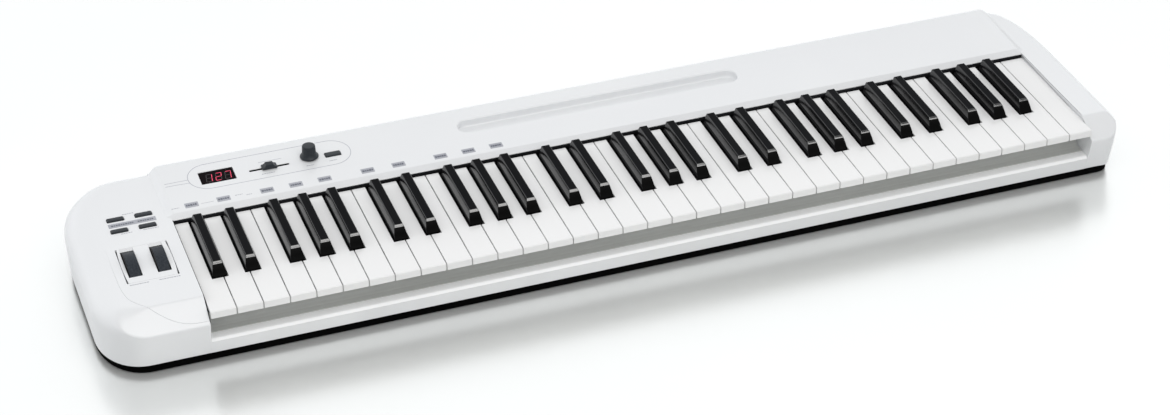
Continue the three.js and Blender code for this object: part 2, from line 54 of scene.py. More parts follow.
KEY_PITCH = 23.5
KEY_GAP = 0.9
OCTAVES = 5
WHITES_PER_OCTAVE = 7
WHITE_COUNT = OCTAVES * WHITES_PER_OCTAVE + 1
KEYBED = WHITE_COUNT * KEY_PITCH
OCTAVE = WHITES_PER_OCTAVE * KEY_PITCH
NOTES = "cdefgab"
WHITE_LENGTH = 143.4
WHITE_LIP = 7.0
BLACK_BASE = 12.2
BLACK_TOP = 7.8
BLACK_FRONT = 49.6
BLACK_BACK = 138.0
BLACK_HEIGHT = 11.5
BLACK_CLEAR = 1.2
BLACK_FRONT_SLOPE = 6.4
BLACK_BACK_SLOPE = 1.5
CHAMFER_DROP, CHAMFER_RUN = 1.9, 2.1
BLACK_CENTRES = (20.5, 50.0, 90.3, 117.3, 144.3)

PIVOT_Y, PIVOT_Z = 196.0, -5.75
TAIL_TOP, TAIL_BOTTOM, TAIL_END, TAIL_TRIM = -2.5, -9.0, 199.5, 2.8
ROD_BORE = 1.95

LEFT, RIGHT, FRONT, BACK = -94.5, 880.0, -1.0, 232.0
CASE_BOTTOM, CHEEK_TOP = -48.2, 4.0
FLOOR, PAN_BOTTOM, RIM_TOP = -56.25, -51.0, -42.0
SKIRT_BOTTOM = -55.4
FACET_BACK, FACET_DROP = 21.0, 16.0

DECK_FRONT, DECK_LIP = 145.0, 3.0
DECK_EDGE_Y, DECK_EDGE_Z = 151.0, 6.5
DECK_REAR_Y, DECK_REAR_Z = 227.5, 10.2
DECK_SLOPE = (DECK_REAR_Z - DECK_EDGE_Z) / (DECK_REAR_Y - DECK_EDGE_Y)

SQUARENESS = 2.15
LEFT_REAR_SQUARENESS = 2.6
RIGHT_FRONT_SQUARENESS = 2.8
CHEEKS = {
    "left": dict(
        inner=-0.5, outer=LEFT, side=-1, front=(43, 62), back=(60, 80),
        front_squareness=SQUARENESS, back_squareness=LEFT_REAR_SQUARENESS, roll=30, back_roll=9.0,
    ),
    "right": dict(
        inner=KEYBED + 0.5, outer=RIGHT, side=1, front=(20, 34), back=(33, 95),
        front_squareness=RIGHT_FRONT_SQUARENESS, back_squareness=SQUARENESS, roll=13, back_roll=5.0,
    ),
}

GROOVE = (284, 566, 188, 208)
GROOVE_FLOOR = 1.4
DISPLAY = (37, 68.5, 186.5, 205)
FADER_X, FADER_Y, FADER_SLOT, FADER_WIDTH = 101, 193, 38, 2.8
FADER_OPENING = (
    FADER_X - FADER_SLOT / 2, FADER_X + FADER_SLOT / 2,
    FADER_Y - FADER_WIDTH / 2, FADER_Y + FADER_WIDTH / 2,
)
KNOB_X, KNOB_Y, SHAFT = 140, 197, 3.0
DATA_BUTTON = (154.5, 169, 191.5, 198.5)
CHEEK_BUTTONS = {
    "octave_down_button": (-56, -41, 160.5, 166),
    "octave_up_button": (-30.5, -15.5, 160.5, 166),
    "transpose_down_button": (-56, -41, 141.5, 147),
    "transpose_up_button": (-30.5, -15.5, 141.5, 147),
}
WELL = (-58.5, -12.5, 61, 115.4)
WHEELS = {"pitch_wheel": (-54.3, -43.8), "modulation_wheel": (-28.6, -18.1)}
WHEEL_Y, WHEEL_Z, WHEEL_RADIUS = 91.0, -22.5, 32.0
WHEEL_SIDE_GAP = 0.8
SOCKET_Z = -11.0
USB_X, USB_WIDTH, USB_HEIGHT = 40, 12, 11
ROUND_SOCKETS = {"midi": (70, 7.5), "pedal": (98, 4.8)}


def deck_z(y):
    return DECK_EDGE_Z + DECK_SLOPE * (y - DECK_EDGE_Y)


# ---- mesh tools


def linked(name, mesh):
    """A new object in the scene that holds mesh."""
    obj = bpy.data.objects.new(name, mesh)
    bpy.context.scene.collection.objects.link(obj)
    return obj


def solid(name, verts, faces):
    """A new object, in design millimetres, with its faces turned outwards."""
    mesh = bpy.data.meshes.new(name)
    mesh.from_pydata([tuple(v) for v in verts], [], faces)
    work = bmesh.new()
    work.from_mesh(mesh)
    bmesh.ops.recalc_face_normals(work, faces=work.faces)
    work.to_mesh(mesh)
    work.free()
    return linked(name, mesh)


def loft(name, loops, ring=False):
    """Closed solid through loops of as many points each; in a ring the last loop meets the first."""
    count = len(loops[0])
    verts = [point for loop in loops for point in loop]
    faces = []
    for row in range(len(loops) if ring else len(loops) - 1):
        for i in range(count):
            a, b = row * count + i, row * count + (i + 1) % count
            faces.append((a, b, (b + count) % len(verts), (a + count) % len(verts)))
    if not ring:
        faces.append(tuple(range(count)))
        faces.append(tuple(range(len(verts) - count, len(verts))))
    return solid(name, verts, faces)


def at_height(outline, z):
    return [(x, y, z) for x, y in outline]


def prism_x(name, section, x0, x1):
    return loft(name, [[(x, y, z) for y, z in section] for x in (x0, x1)])


def prism_y(name, section, y0, y1):
    return loft(name, [[(x, y, z) for x, z in section] for y in (y0, y1)])


def prism_z(name, outline, z0, z1):
    return loft(name, [at_height(outline, z0), at_height(outline, z1)])


def block(name, x0, x1, y0, y1, z0, z1):
    return prism_z(name, [(x0, y0), (x1, y0), (x1, y1), (x0, y1)], z0, z1)


def circle(u, v, radius, count):
    angles = [2 * math.pi * (i + 0.5) / count for i in range(count)]
    return [(u + radius * math.cos(a), v + radius * math.sin(a)) for a in angles]


def rounded_rect(x0, x1, y0, y1, radius, steps=6):
    """Outline of a rectangle with round corners, the same number of points for any radius."""
    outline = []
    corners = ((x1, y1, -1, -1, 0), (x0, y1, 1, -1, 90), (x0, y0, 1, 1, 180), (x1, y0, -1, 1, 270))
    for x, y, sx, sy, start in corners:
        for i in range(steps + 1):
            angle = math.radians(start + 90 * i / steps)
            across = x + sx * radius + radius * math.cos(angle)
            outline.append((across, y + sy * radius + radius * math.sin(angle)))
    return outline


def grown(rect, margin, radius, steps=6):
    """Rounded outline of rect = (x0, x1, y0, y1), moved out by margin on every side."""
    x0, x1, y0, y1 = rect
    return rounded_rect(x0 - margin, x1 + margin, y0 - margin, y1 + margin, radius, steps)


def rounding(steps, first=0):
    """Pairs (1 - cos, 1 - sin) that go evenly through a quarter turn."""
    turns = [k / steps * math.pi / 2 for k in range(first, steps + 1)]
    return [(1 - math.cos(t), 1 - math.sin(t)) for t in turns]


def fillet(points, radii, steps=5):
    """Rounds the corners of a closed polygon, one radius for each corner."""
    rounded = []
    for i, radius in enumerate(radii):
        corner = Vector(points[i])
        if radius == 0:
            rounded.append(tuple(corner))
            continue
        before, after = (Vector(points[k]) - corner for k in (i - 1, (i + 1) % len(points)))
        half = before.angle(after) / 2
        reach = min(radius / math.tan(half), 0.48 * before.length, 0.48 * after.length)
        a, b = (corner + side.normalized() * reach for side in (before, after))
        for k in range(steps + 1):
            t = k / steps
            rounded.append(tuple(a * (1 - t) ** 2 + corner * 2 * t * (1 - t) + b * t * t))
    return rounded


def bake(obj):
    """Applies obj's modifiers to its mesh."""
    depsgraph = bpy.context.evaluated_depsgraph_get()
    old = obj.data
    mesh = bpy.data.meshes.new_from_object(obj.evaluated_get(depsgraph))
    obj.modifiers.clear()
    obj.data = mesh
    mesh.name = obj.name
    bpy.data.meshes.remove(old)
    return obj


def discard(obj):
    mesh = obj.data
    bpy.data.objects.remove(obj)
    bpy.data.meshes.remove(mesh)


def combine(obj, operation, tools):
    for tool in tools:
        modifier = obj.modifiers.new("combine", "BOOLEAN")
        modifier.operation = operation
        modifier.solver = "MANIFOLD"
        modifier.object = tool
    bake(obj)
    for tool in tools:
        discard(tool)
    return obj


def cut(obj, tools):
    return combine(obj, "DIFFERENCE", tools)


def add(obj, tools):
    return combine(obj, "UNION", tools)


def soften(obj, width, segments=3, angle=40):
    """Rounds every edge that turns by more than angle."""
    modifier = obj.modifiers.new("soften", "BEVEL")
    modifier.width = width
    modifier.segments = segments
    modifier.limit_method = "ANGLE"
    modifier.angle_limit = math.radians(angle)
    modifier.use_clamp_overlap = False
    return bake(obj)


def joined(name, objects):
    """One object with the loose shells of several."""
    work = bmesh.new()
    for obj in objects:
        work.from_mesh(obj.data)
        discard(obj)
    mesh = bpy.data.meshes.new(name)
    work.to_mesh(mesh)
    work.free()
    return linked(name, mesh)


def finish_piece(obj, material, node=None, body="case"):
    """Takes a piece to the row frame, shades it, and puts it on its body in its node's place."""
    mesh = obj.data
    mesh.transform(TO_FRAME)
    mesh.materials.clear()
    mesh.materials.append(material)
    for polygon in mesh.polygons:
        polygon.material_index = 0
    mesh.shade_smooth()
    mesh.set_sharp_from_angle(angle=math.radians(SMOOTH_ANGLE))
    weigh = obj.modifiers.new("weigh", "WEIGHTED_NORMAL")
    weigh.keep_sharp = True
    bake(obj)
    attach(obj, body)
    if node:
        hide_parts(node)


def finish_moving(obj, node, material):
    """Finishes a piece that rides on the body named like the CAD node it stands for."""
    finish_piece(obj, material, node, body=node)


def paint_faces(obj, materials, choose):
    """Gives each face the material that choose picks from its normal; 0 keeps the piece's own."""
    for material in materials:
        obj.data.materials.append(material)
    for polygon in obj.data.polygons:
        polygon.material_index = int(choose(polygon.normal))


# ---- materials


def add_node(tree, kind, output, feeds, **values):
    """A new shader node with feeds on its sockets and values on the others; returns one output."""
    node = tree.nodes.new("ShaderNode" + kind)
    for socket, value in values.items():
        node.inputs[socket.replace("_", " ")].default_value = value
    for socket, source in feeds.items():
        tree.links.new(source, node.inputs[socket])
    return node.outputs[output]


def change(tree, source, low, high, at_low, at_high, style="LINEAR"):
    """Goes from at_low to at_high while source goes from low to high."""
    limits = dict(From_Min=low, From_Max=high, To_Min=at_low, To_Max=at_high)
    result = add_node(tree, "MapRange", "Result", {"Value": source}, **limits)
    result.node.interpolation_type = style
    return result


class Finish:
    """A material under construction: one principled shader and the nodes that feed it."""

    def __init__(self, name, **fixed):
        self.material = bpy.data.materials.new(name)
        self.material.use_nodes = True
        self.tree = self.material.node_tree
        self.shader = self.tree.nodes["Principled BSDF"]
        for socket, value in fixed.items():
            self.shader.inputs[socket.replace("_", " ")].default_value = value
        self.place = add_node(self.tree, "TexCoord", "Object", {})

    def feed(self, socket, source):
        self.tree.links.new(source, self.shader.inputs[socket])

    def noise(self, scale, detail=2.0, stretch=(1, 1, 1)):
        place = add_node(self.tree, "Mapping", "Vector", {"Vector": self.place}, Scale=stretch)
        return add_node(self.tree, "TexNoise", "Fac", {"Vector": place}, Scale=scale, Detail=detail)

    def tint(self, source, dark, light, low=0.35, high=0.65):
        colour = add_node(self.tree, "ValToRGB", "Color", {"Fac": source})
        stops = colour.node.color_ramp.elements
        for stop, position, tone in zip(stops, (low, high), (dark, light)):
            stop.position = position
            stop.color = (*tone, 1)
        self.feed("Base Color", colour)

    def polish(self, source, low, high):
        self.feed("Roughness", change(self.tree, source, 0.3, 0.7, low, high))

    def bump(self, source, height):
        """A bump of that height in metres."""
        heights = {"Height": source}
        self.feed("Normal", add_node(self.tree, "Bump", "Normal", heights, Strength=1, Distance=height))


def moulded(name, dark, light, polish, specular=0.5, grain=1800, height=1.2e-5, drift=7, **fixed):
    """Moulded plastic: a drift in tone, an uneven polish and a small grain."""
    finish = Finish(name, Specular_IOR_Level=specular, **fixed)
    finish.tint(finish.noise(drift), dark, light, 0.25, 0.75)
    finish.polish(finish.noise(25), *polish)
    finish.bump(finish.noise(grain), height)
    return finish.material


def key_black(name, dark, light, polish, specular, height=3e-6, **fixed):
    return moulded(f"key_black{name}", dark, light, polish, specular, 2600, height, **fixed)


def brushed_metal(name, dark, light):
    finish = Finish(name, Metallic=1.0)
    streaks = finish.noise(700, 3, stretch=(0.03, 1, 1))
    finish.tint(streaks, dark, light)
    finish.polish(finish.noise(30, 3), 0.25, 0.42)
    finish.bump(streaks, 0.00001)
    return finish.material


def glowing(name, colour, strength):
    """A lit display segment, a little brighter and dimmer in places."""
    finish = Finish(name, Emission_Color=(*colour, 1), Emission_Strength=strength)
    finish.tint(finish.noise(900), [c * 0.5 for c in colour], colour)
    finish.polish(finish.noise(300), 0.2, 0.3)
    return finish.material


PEARL = moulded(
    "pearl_white", (0.775, 0.785, 0.80), (0.80, 0.81, 0.82), (0.36, 0.42),
    Metallic=0.10, Coat_Weight=0.12, Coat_Roughness=0.25,
)
# A whiter copy of the case's white for the rail's upward faces: painted light on its crest and on the
# channel floor.
RAIL_PAINTED_LIGHT = moulded("rail_painted_light", (0.93, 0.935, 0.94), (0.95, 0.955, 0.96), (0.3, 0.38))
IVORY = moulded(
    "key_white", (0.80, 0.80, 0.80), (0.825, 0.825, 0.822), (0.2, 0.27),
    grain=900, height=6e-6, Coat_Weight=0.3, Coat_Roughness=0.08,
)
BLACK_DARK, BLACK_LIGHT = (0.004, 0.004, 0.0045), (0.007, 0.007, 0.0075)
# Black keys take copies of one black by where a face points: a rough, barely reflective top and a
# darker front as painted shade, a very glossy chamfer as a painted highlight and a glossier upper side
# edge as a painted sheen.
EBONY = key_black("", (0.0035, 0.0035, 0.004), (0.006, 0.006, 0.0065), (0.14, 0.22), 0.012, 4e-6)
EBONY_SHADED_TOP = key_black(
    "_top", (0.004, 0.0042, 0.005), (0.008, 0.0085, 0.0095), (0.42, 0.52), 0.02, 2e-5
)
EBONY_SHADED_FRONT = key_black(
    "_front", (0.003, 0.003, 0.003), (0.005, 0.005, 0.005), (0.10, 0.16), 0.02, 4e-6
)
EBONY_HIGHLIGHT_CHAMFER = key_black("_edge", BLACK_DARK, BLACK_LIGHT, (0.12, 0.2), 0.95, IOR=1.8)
EBONY_SHEEN_RIM = key_black("_rim", BLACK_DARK, BLACK_LIGHT, (0.14, 0.24), 0.5)
# A mid grey that paints the shade deep in the channel under the keys.
CHANNEL_SHADE_GREY = moulded("channel_shade_grey", (0.53, 0.54, 0.52), (0.57, 0.58, 0.56), (0.6, 0.75))
DARK_PLASTIC = moulded(
    "control_grey", (0.015, 0.019, 0.024), (0.024, 0.029, 0.035), (0.36, 0.48), 0.30, height=2e-5
)
WHEEL_RUBBER = moulded(
    "wheel_rubber", (0.012, 0.016, 0.022), (0.040, 0.046, 0.056), (0.5, 0.66), 0.2, 1400, 4e-5, 700
)
WHEEL_SIDE = moulded(
    "wheel_side", (0.004, 0.004, 0.005), (0.008, 0.008, 0.009), (0.5, 0.6), 0.1, 1400, 2e-5
)
PAN_BLACK = moulded(
    "tray_black", (0.0012, 0.0012, 0.0012), (0.003, 0.003, 0.003), (0.7, 0.85), 0.01, 1100, 5e-5
)
FOOT_RUBBER = moulded(
    "foot_rubber", (0.010, 0.010, 0.010), (0.020, 0.020, 0.020), (0.75, 0.9), 0.1, 900, 8e-5
)
# Black felt; behind the white keys and beside the first key it also paints the shade of the gaps there.
FELT_AND_SHADE = moulded(
    "slot_felt", (0.006, 0.006, 0.007), (0.014, 0.014, 0.016), (0.85, 0.98), 0.05, 2400, 1.2e-4
)
BOARD = moulded(
    "board_green", (0.010, 0.085, 0.040), (0.016, 0.125, 0.060), (0.28, 0.4),
    grain=500, height=3e-5, Coat_Weight=0.3,
)
SMOKED = moulded(
    "smoked_window", (0.004, 0.003, 0.0035), (0.007, 0.004, 0.005), (0.05, 0.09), 0.02, 300, 2e-6
)
INK = moulded("ink_grey", (0.25, 0.26, 0.32), (0.33, 0.34, 0.40), (0.4, 0.5))
INK_PALE = moulded("ink_pale", (0.34, 0.35, 0.39), (0.42, 0.43, 0.47), (0.4, 0.5))
INK_DARK = moulded("ink_dark", (0.07, 0.08, 0.11), (0.12, 0.13, 0.16), (0.4, 0.5))
STEEL = brushed_metal("zinc_steel", (0.42, 0.43, 0.45), (0.62, 0.63, 0.65))
LIT = glowing("segment_lit", (0.85, 0.05, 0.13), 0.55)
UNLIT = glowing("segment_unlit", (0.010, 0.003, 0.004), 0.02)

# ---- camera, light and floor

CAMERA_PLACE = (-0.71355, -1.9978, 1.41105)
CAMERA_TURN = (19.347, 33.599, 0.528)  # azimuth, elevation and roll in degrees
CAMERA_LENS, CAMERA_SENSOR = 83.53, 36
REAR_LIGHT = 1.17
FRONT_LIGHT = 0.52
SKY_SHARE = 0.60
SKY_COLOUR = (0.975, 0.985, 1.0, 1)
# Place, size, watts and colour of each box. They all face the origin.
SOFTBOXES = {
    "top_softbox": ((-0.2, -0.92, 1.80), (2.0, 0.8), 13, (1.0, 0.99, 0.97)),
    "front_softbox": ((0.1, -1.75, 1.55), (2.6, 0.45), 9, (1.0, 0.99, 0.97)),
    "rear_softbox": ((-1.9, 2.4, 0.80), (2.0, 0.35), 2, (0.97, 0.985, 1.0)),
}
FLOOR_HALF, FLOOR_CELLS = 12.0, 24


def add_camera():
    """Long lens, from the left front, looking down."""
    azimuth, elevation, roll = (math.radians(a) for a in CAMERA_TURN)
    data = bpy.data.cameras.new("camera")
    data.sensor_width = CAMERA_SENSOR
    data.lens = CAMERA_LENS
    data.clip_start = 0.1
    data.clip_end = 60
    camera = linked("camera", data)
    camera.location = CAMERA_PLACE
    turn = Matrix.Rotation(-azimuth, 4, "Z") @ Matrix.Rotation(math.pi / 2 - elevation, 4, "X")
    camera.rotation_euler = (turn @ Matrix.Rotation(-roll, 4, "Z")).to_euler()
    bpy.context.scene.camera = camera


def add_softbox(name, place, size, power, colour):
    data = bpy.data.lights.new(name, "AREA")
    data.shape = "RECTANGLE"
    data.size, data.size_y = size
    data.energy = power
    data.color = colour
    light = linked(name, data)
    light.location = place
    light.rotation_euler = (-Vector(place)).to_track_quat("-Z", "Y").to_euler()


def add_light():
    """Bright surround, dimmer in front and above, with boxes overhead, in front and behind."""
    world = bpy.data.worlds.new("studio")
    world.use_nodes = True
    tree = world.node_tree
    background = tree.nodes["Background"]
    background.inputs["Color"].default_value = SKY_COLOUR
    direction = add_node(tree, "TexCoord", "Generated", {})
    y = add_node(tree, "SeparateXYZ", "Y", {"Vector": direction})
    z = y.node.outputs["Z"]
    around = change(tree, y, -0.35, 0.15, FRONT_LIGHT, REAR_LIGHT, "SMOOTHSTEP")
    above = change(tree, z, 0.60, 0.85, 1.0, SKY_SHARE, "SMOOTHSTEP")
    product = add_node(tree, "Math", 0, {0: around, 1: above})
    product.node.operation = "MULTIPLY"
    tree.links.new(product, background.inputs["Strength"])
    bpy.context.scene.world = world
    for name, settings in SOFTBOXES.items():
        add_softbox(name, *settings)
    bpy.context.scene.view_settings.view_transform = "Standard"


def add_floor():
    """A pale, slightly glossy table, big enough to fill every view."""
    mesh = bpy.data.meshes.new("floor")
    work = bmesh.new()
    bmesh.ops.create_grid(work, x_segments=FLOOR_CELLS, y_segments=FLOOR_CELLS, size=FLOOR_HALF)
    work.to_mesh(mesh)
    work.free()
    floor = linked("floor", mesh)
    finish = Finish("floor_white", Metallic=0.64, Emission_Color=(1, 1, 1, 1), Emission_Strength=0.01)
    finish.tint(finish.noise(3), (0.915, 0.925, 0.915), (0.93, 0.94, 0.93))
    finish.polish(finish.noise(5), 0.24, 0.26)
    mesh.materials.append(finish.material)


# ---- case


def quarter(t, squareness=SQUARENESS):
    angle = t * math.pi / 2
    power = 2 / squareness
    return math.sin(angle) ** power, math.cos(angle) ** power


def blend(a, b, share):
    return a + (b - a) * share


def smooth_step(low, high, x):
    t = min(max((x - low) / (high - low), 0.0), 1.0)
    return t * t * (3 - 2 * t)


def soft_min(a, b, width):
    """The lower of a and b, with the corner between them rounded over width."""
    share = max(width - abs(a - b), 0.0) / width
    return min(a, b) - share * share * width / 4


EDGE_RADIUS = 1.4
ROLL_HEIGHT = 17.0
SHOULDER = CHEEK_TOP - ROLL_HEIGHT - 0.5
# Heights between which the cutters for the openings reach.
CUT_LOW, CUT_HIGH = -4, 20
# How far a film of ink reaches into the case and above it.
PRINT_DEPTH, PRINT_LIFT = 0.05, 0.06
# How a cheek's top rounds over along its front and along its back, away from the corners.
FRONT_ROLL, FRONT_REACH, FRONT_UNDERCUT = 2.0, 26.0, 9.0
BACK_REACH, SIDE_REACH, UNDERCUT = 3.0, 3.0, 1.5
FRONT_SQUEEZE = 0.85
FRONT_END, BACK_END = 1, -1
UNDERCUT_ROWS = 8
# Points along a cheek's straight part and round its corner, and rows up its top.
FINE, COARSE = (30, 40, 60), (6, 12, 16)
# Rounding between a cheek's top and its facet: its least width, what it gains, and where.
FACET_ROUNDING, FACET_SPREAD, FACET_SPREAD_X = 0.9, 6, (-42, -78)


def cheek_point(cheek, end, x, y, s, c):
    """One point of a cheek's outline; s and c say how far it faces sideways and endways."""
    share = s * s
    if end == FRONT_END:
        roll, reach, undercut = FRONT_ROLL, FRONT_REACH, FRONT_UNDERCUT
        squeeze = blend(min(1.0, FRONT_SQUEEZE * cheek["front"][0] / FRONT_REACH), 1.0, share)
    else:
        roll, reach, undercut = cheek["back_roll"], cheek["back_roll"] + BACK_REACH, UNDERCUT
        squeeze = 1.0
    return dict(
        x=x,
        y=y,
        nx=-cheek["side"] * s * squeeze,
        ny=end * c,
        roll=blend(roll, cheek["roll"], share),
        undercut=blend(undercut, UNDERCUT, share),
        reach=blend(reach, cheek["roll"] + SIDE_REACH, share),
        facet=end == FRONT_END,
        crisp=(1 - share) if end == FRONT_END else 0.0,
    )


def cheek_end(cheek, end, straight, corner):
    """Path along one end of a cheek, from its inner side round the outer corner."""
    name, y = ("front", FRONT) if end == FRONT_END else ("back", BACK)
    a, b = cheek[name]
    start = cheek["outer"] - cheek["side"] * a
    path = [(blend(cheek["inner"], start, i / straight), y, 0.0, 1.0) for i in range(straight)]
    for i in range(corner + 1):
        s, c = quarter(i / corner, cheek[name + "_squareness"])
        path.append((start + cheek["side"] * a * s, y + end * b * (1 - c), s, c))
    return path


def cheek_outline(cheek, straight, corner):
    """Points round a cheek from its front inner corner to its rear one."""
    front = cheek_end(cheek, FRONT_END, straight, corner)
    back = cheek_end(cheek, BACK_END, straight, corner)[::-1]
    low, high = front[-1][1], back[0][1]
    side = [
        (cheek["outer"], blend(low, high, i * 3 / straight), 1.0, 0.0)
        for i in range(1, straight // 3)
    ]
    points = [cheek_point(cheek, FRONT_END, *place) for place in front + side]
    return points + [cheek_point(cheek, BACK_END, *place) for place in back]


def facet_height(x, y):
    """Height of the plane that cuts off a cheek's front, and the width of its rounding."""
    facet = CHEEK_TOP - FACET_DROP * (FACET_BACK - y) / (FACET_BACK - FRONT)
    return facet, FACET_ROUNDING + FACET_SPREAD * smooth_step(*FACET_SPREAD_X, x)


def cheek_height(p, x, y, inset):
    """Height of a cheek's top at a point that lies inset from the outline."""
    height = min(p["roll"], ROLL_HEIGHT)
    u = max(1 - inset / p["roll"], 0.0)
    z = CHEEK_TOP - height * (1 - math.sqrt(1 - u * u))
    facet, width = facet_height(x, y)
    if p["facet"] and facet < CHEEK_TOP + width:
        z = soft_min(z, facet, width)
    v = max(1 - inset / EDGE_RADIUS, 0.0)
    return z - p["crisp"] * EDGE_RADIUS * (1 - math.sqrt(1 - v * v))


def cheek_solid(name, cheek, wall, bottom, straight, corner, rows):
    """Solid of a cheek, shrunk all round by wall, standing on bottom."""
    outline = cheek_outline(cheek, straight, corner)
    inner_x = cheek["inner"] + cheek["side"] * wall
    ends = (0, len(outline) - 1)

    def place(i, p, inset, z):
        x = p["x"] + p["nx"] * (inset + wall)
        y = p["y"] + p["ny"] * (inset + wall)
        if i in ends:
            x = inner_x
        return (x, y, z)

    loops = []
    for k in range(UNDERCUT_ROWS + 1):
        share = 1 - k / UNDERCUT_ROWS
        z = blend(SHOULDER - wall, bottom, share)
        loops.append([place(i, p, p["undercut"] * share**1.2, z) for i, p in enumerate(outline)])
    for t, _ in rounding(rows):
        loop = []
        for i, p in enumerate(outline):
            inset = p["reach"] * t
            x, y = p["x"] + p["nx"] * inset, p["y"] + p["ny"] * inset
            loop.append(place(i, p, inset, cheek_height(p, x, y, inset) - wall))
        loops.append(loop)
    return loft(name, loops)


def on_surface(outline, surface, lift):
    return [(x, y, surface(y) + lift) for x, y in outline]


def stacked(name, outline_of, levels, surface=lambda _y: 0.0, ring=False):
    """Loft through outline_of(margin) at z above surface, for each (margin, z) of levels."""
    return loft(name, [on_surface(outline_of(margin), surface, z) for margin, z in levels], ring)


def flared(name, outline_of, surface, radius=0.5, low=CUT_LOW, high=CUT_HIGH):
    """Cutter for an opening whose lip is rounded; outline_of(grow) gives its outline."""
    lip = [
        on_surface(outline_of(radius * run), surface, -radius * drop) for run, drop in rounding(4)
    ]
    return loft(name, [at_height(outline_of(0.0), low), *lip, at_height(outline_of(radius), high)])


def film(name, outline, surface, depth=PRINT_DEPTH, lift=PRINT_LIFT):
    """A thin film with that outline, from depth under the case's surface to lift above it."""
    return loft(name, [on_surface(outline, surface, dz) for dz in (-depth, lift)])


def rect_outline(rect, margin, corner):
    return lambda grow: grown(rect, margin + grow, corner + grow)


def cheek_surface(_y):
    return CHEEK_TOP


SEAM_FADE_Y = (118, 70)
SEAM = (
    (-66.0, 118.0), (-66.5, 90.0), (-66.0, 62.0), (-64.5, 46.0), (-61.5, 36.0), (-56.0, 28.0),
    (-48.5, 20.0), (-40.0, 13.0), (-31.0, 7.3), (-22.0, 3.8), (-12.0, 2.2), (1.0, 2.0),
)


def smooth_path(points, per_span=8):
    """Catmull-Rom curve through points."""
    path = []
    for i in range(len(points) - 1):
        a, b, c, d = (Vector(points[min(max(i + k, 0), len(points) - 1)]) for k in (-1, 0, 1, 2))
        for k in range(per_span):
            t = k / per_span
            path.append(
                0.5 * (2 * b + (c - a) * t + (2 * a - 5 * b + 4 * c - d) * t * t
                       + (3 * b - a - 3 * c + d) * t * t * t)
            )
    path.append(Vector(points[-1]))
    return path


def seam_cutter():
    """A fine groove where the cheek's cover plate meets the moulding."""
    path = smooth_path(SEAM)
    loops = []
    for i, (x, y) in enumerate(path):
        ahead = path[min(i + 1, len(path) - 1)] - path[max(i - 1, 0)]
        across = Vector((ahead.y, -ahead.x)).normalized()
        z = soft_min(CHEEK_TOP, *facet_height(x, y))
        fade = smooth_step(*SEAM_FADE_Y, y)
        depth, half = blend(0.12, 0.40, fade), blend(0.18, 0.30, fade)
        corners = ((-half, 0.6), (half, 0.6), (half * 0.6, -depth), (-half * 0.6, -depth))
        loops.append([(x + across.x * u, y + across.y * u, z + lift) for u, lift in corners])
    return loft("seam_cutter", loops)


def build_cheek(side):
    cheek = CHEEKS[side]
    shell = cheek_solid(f"cheek_{side}", cheek, 0.0, CASE_BOTTOM, *FINE)
    soften(shell, 0.5, angle=50)
    hollow = cheek_solid("hollow", cheek, WALL, CASE_BOTTOM - 1, *COARSE)
    near, far = (cheek["inner"] + step for step in (-WALL - 2, WALL + 2))
    notch = block("tray_notch", near, far, 13.5, BACK - 5, CASE_BOTTOM - 1, RIM_TOP + 1)
    tools = [hollow, notch]
    if side == "left":
        tools += [
            flared(name, rect_outline(rect, GAP, 0.8), cheek_surface)
            for name, rect in CHEEK_BUTTONS.items()
        ]
        tools.append(flared("well", rect_outline(WELL, 0.2, 1.0), cheek_surface, 0.3))
        tools.append(seam_cutter())
    return cut(shell, tools)


def deck_section(rise):
    """Closed section of the deck and its back wall; rise is 0 at a cheek and 1 in between."""
    meeting = CHEEK_TOP - 0.15
    edge, rear = (blend(meeting, z, rise) for z in (DECK_EDGE_Z, DECK_REAR_Z))
    points = [
        (DECK_FRONT, DECK_LIP), (DECK_EDGE_Y, edge), (DECK_REAR_Y, rear), (DECK_REAR_Y + 3, rear - 1.3),
        (BACK, rear - 4.5), (BACK - 0.05, SHOULDER), (BACK - 1.5, CASE_BOTTOM),
        (BACK - 1.5 - WALL, CASE_BOTTOM), (BACK - WALL, rear - 5.2), (DECK_REAR_Y - 0.6, rear - WALL),
        (DECK_EDGE_Y + 1, edge - WALL), (DECK_FRONT + 1.2, DECK_LIP - 2),
    ]
    return fillet(points, [0.5, 1.0, 3.0, 3.0, 4.0, 8.0, 0.5, 0.3, 1.0, 1.0, 0.5, 0.3], 6)


def groove_cutter(half):
    """Cutter for the rest groove, rounded at its floor and at its lip."""

    def outline(grow):
        return grown(GROOVE, grow, half + grow, 14)

    foot, lip = 2.2, 1.6
    loops = [at_height(outline(-foot), GROOVE_FLOOR)]
    for run, drop in rounding(5, 1):
        loops.append(at_height(outline(-foot * drop), GROOVE_FLOOR + foot * run))
    for run, drop in rounding(6, 1):
        loops.append(on_surface(outline(lip * run), deck_z, -lip * drop))
    loops.append(at_height(outline(lip), CUT_HIGH))
    return loft("groove", loops)


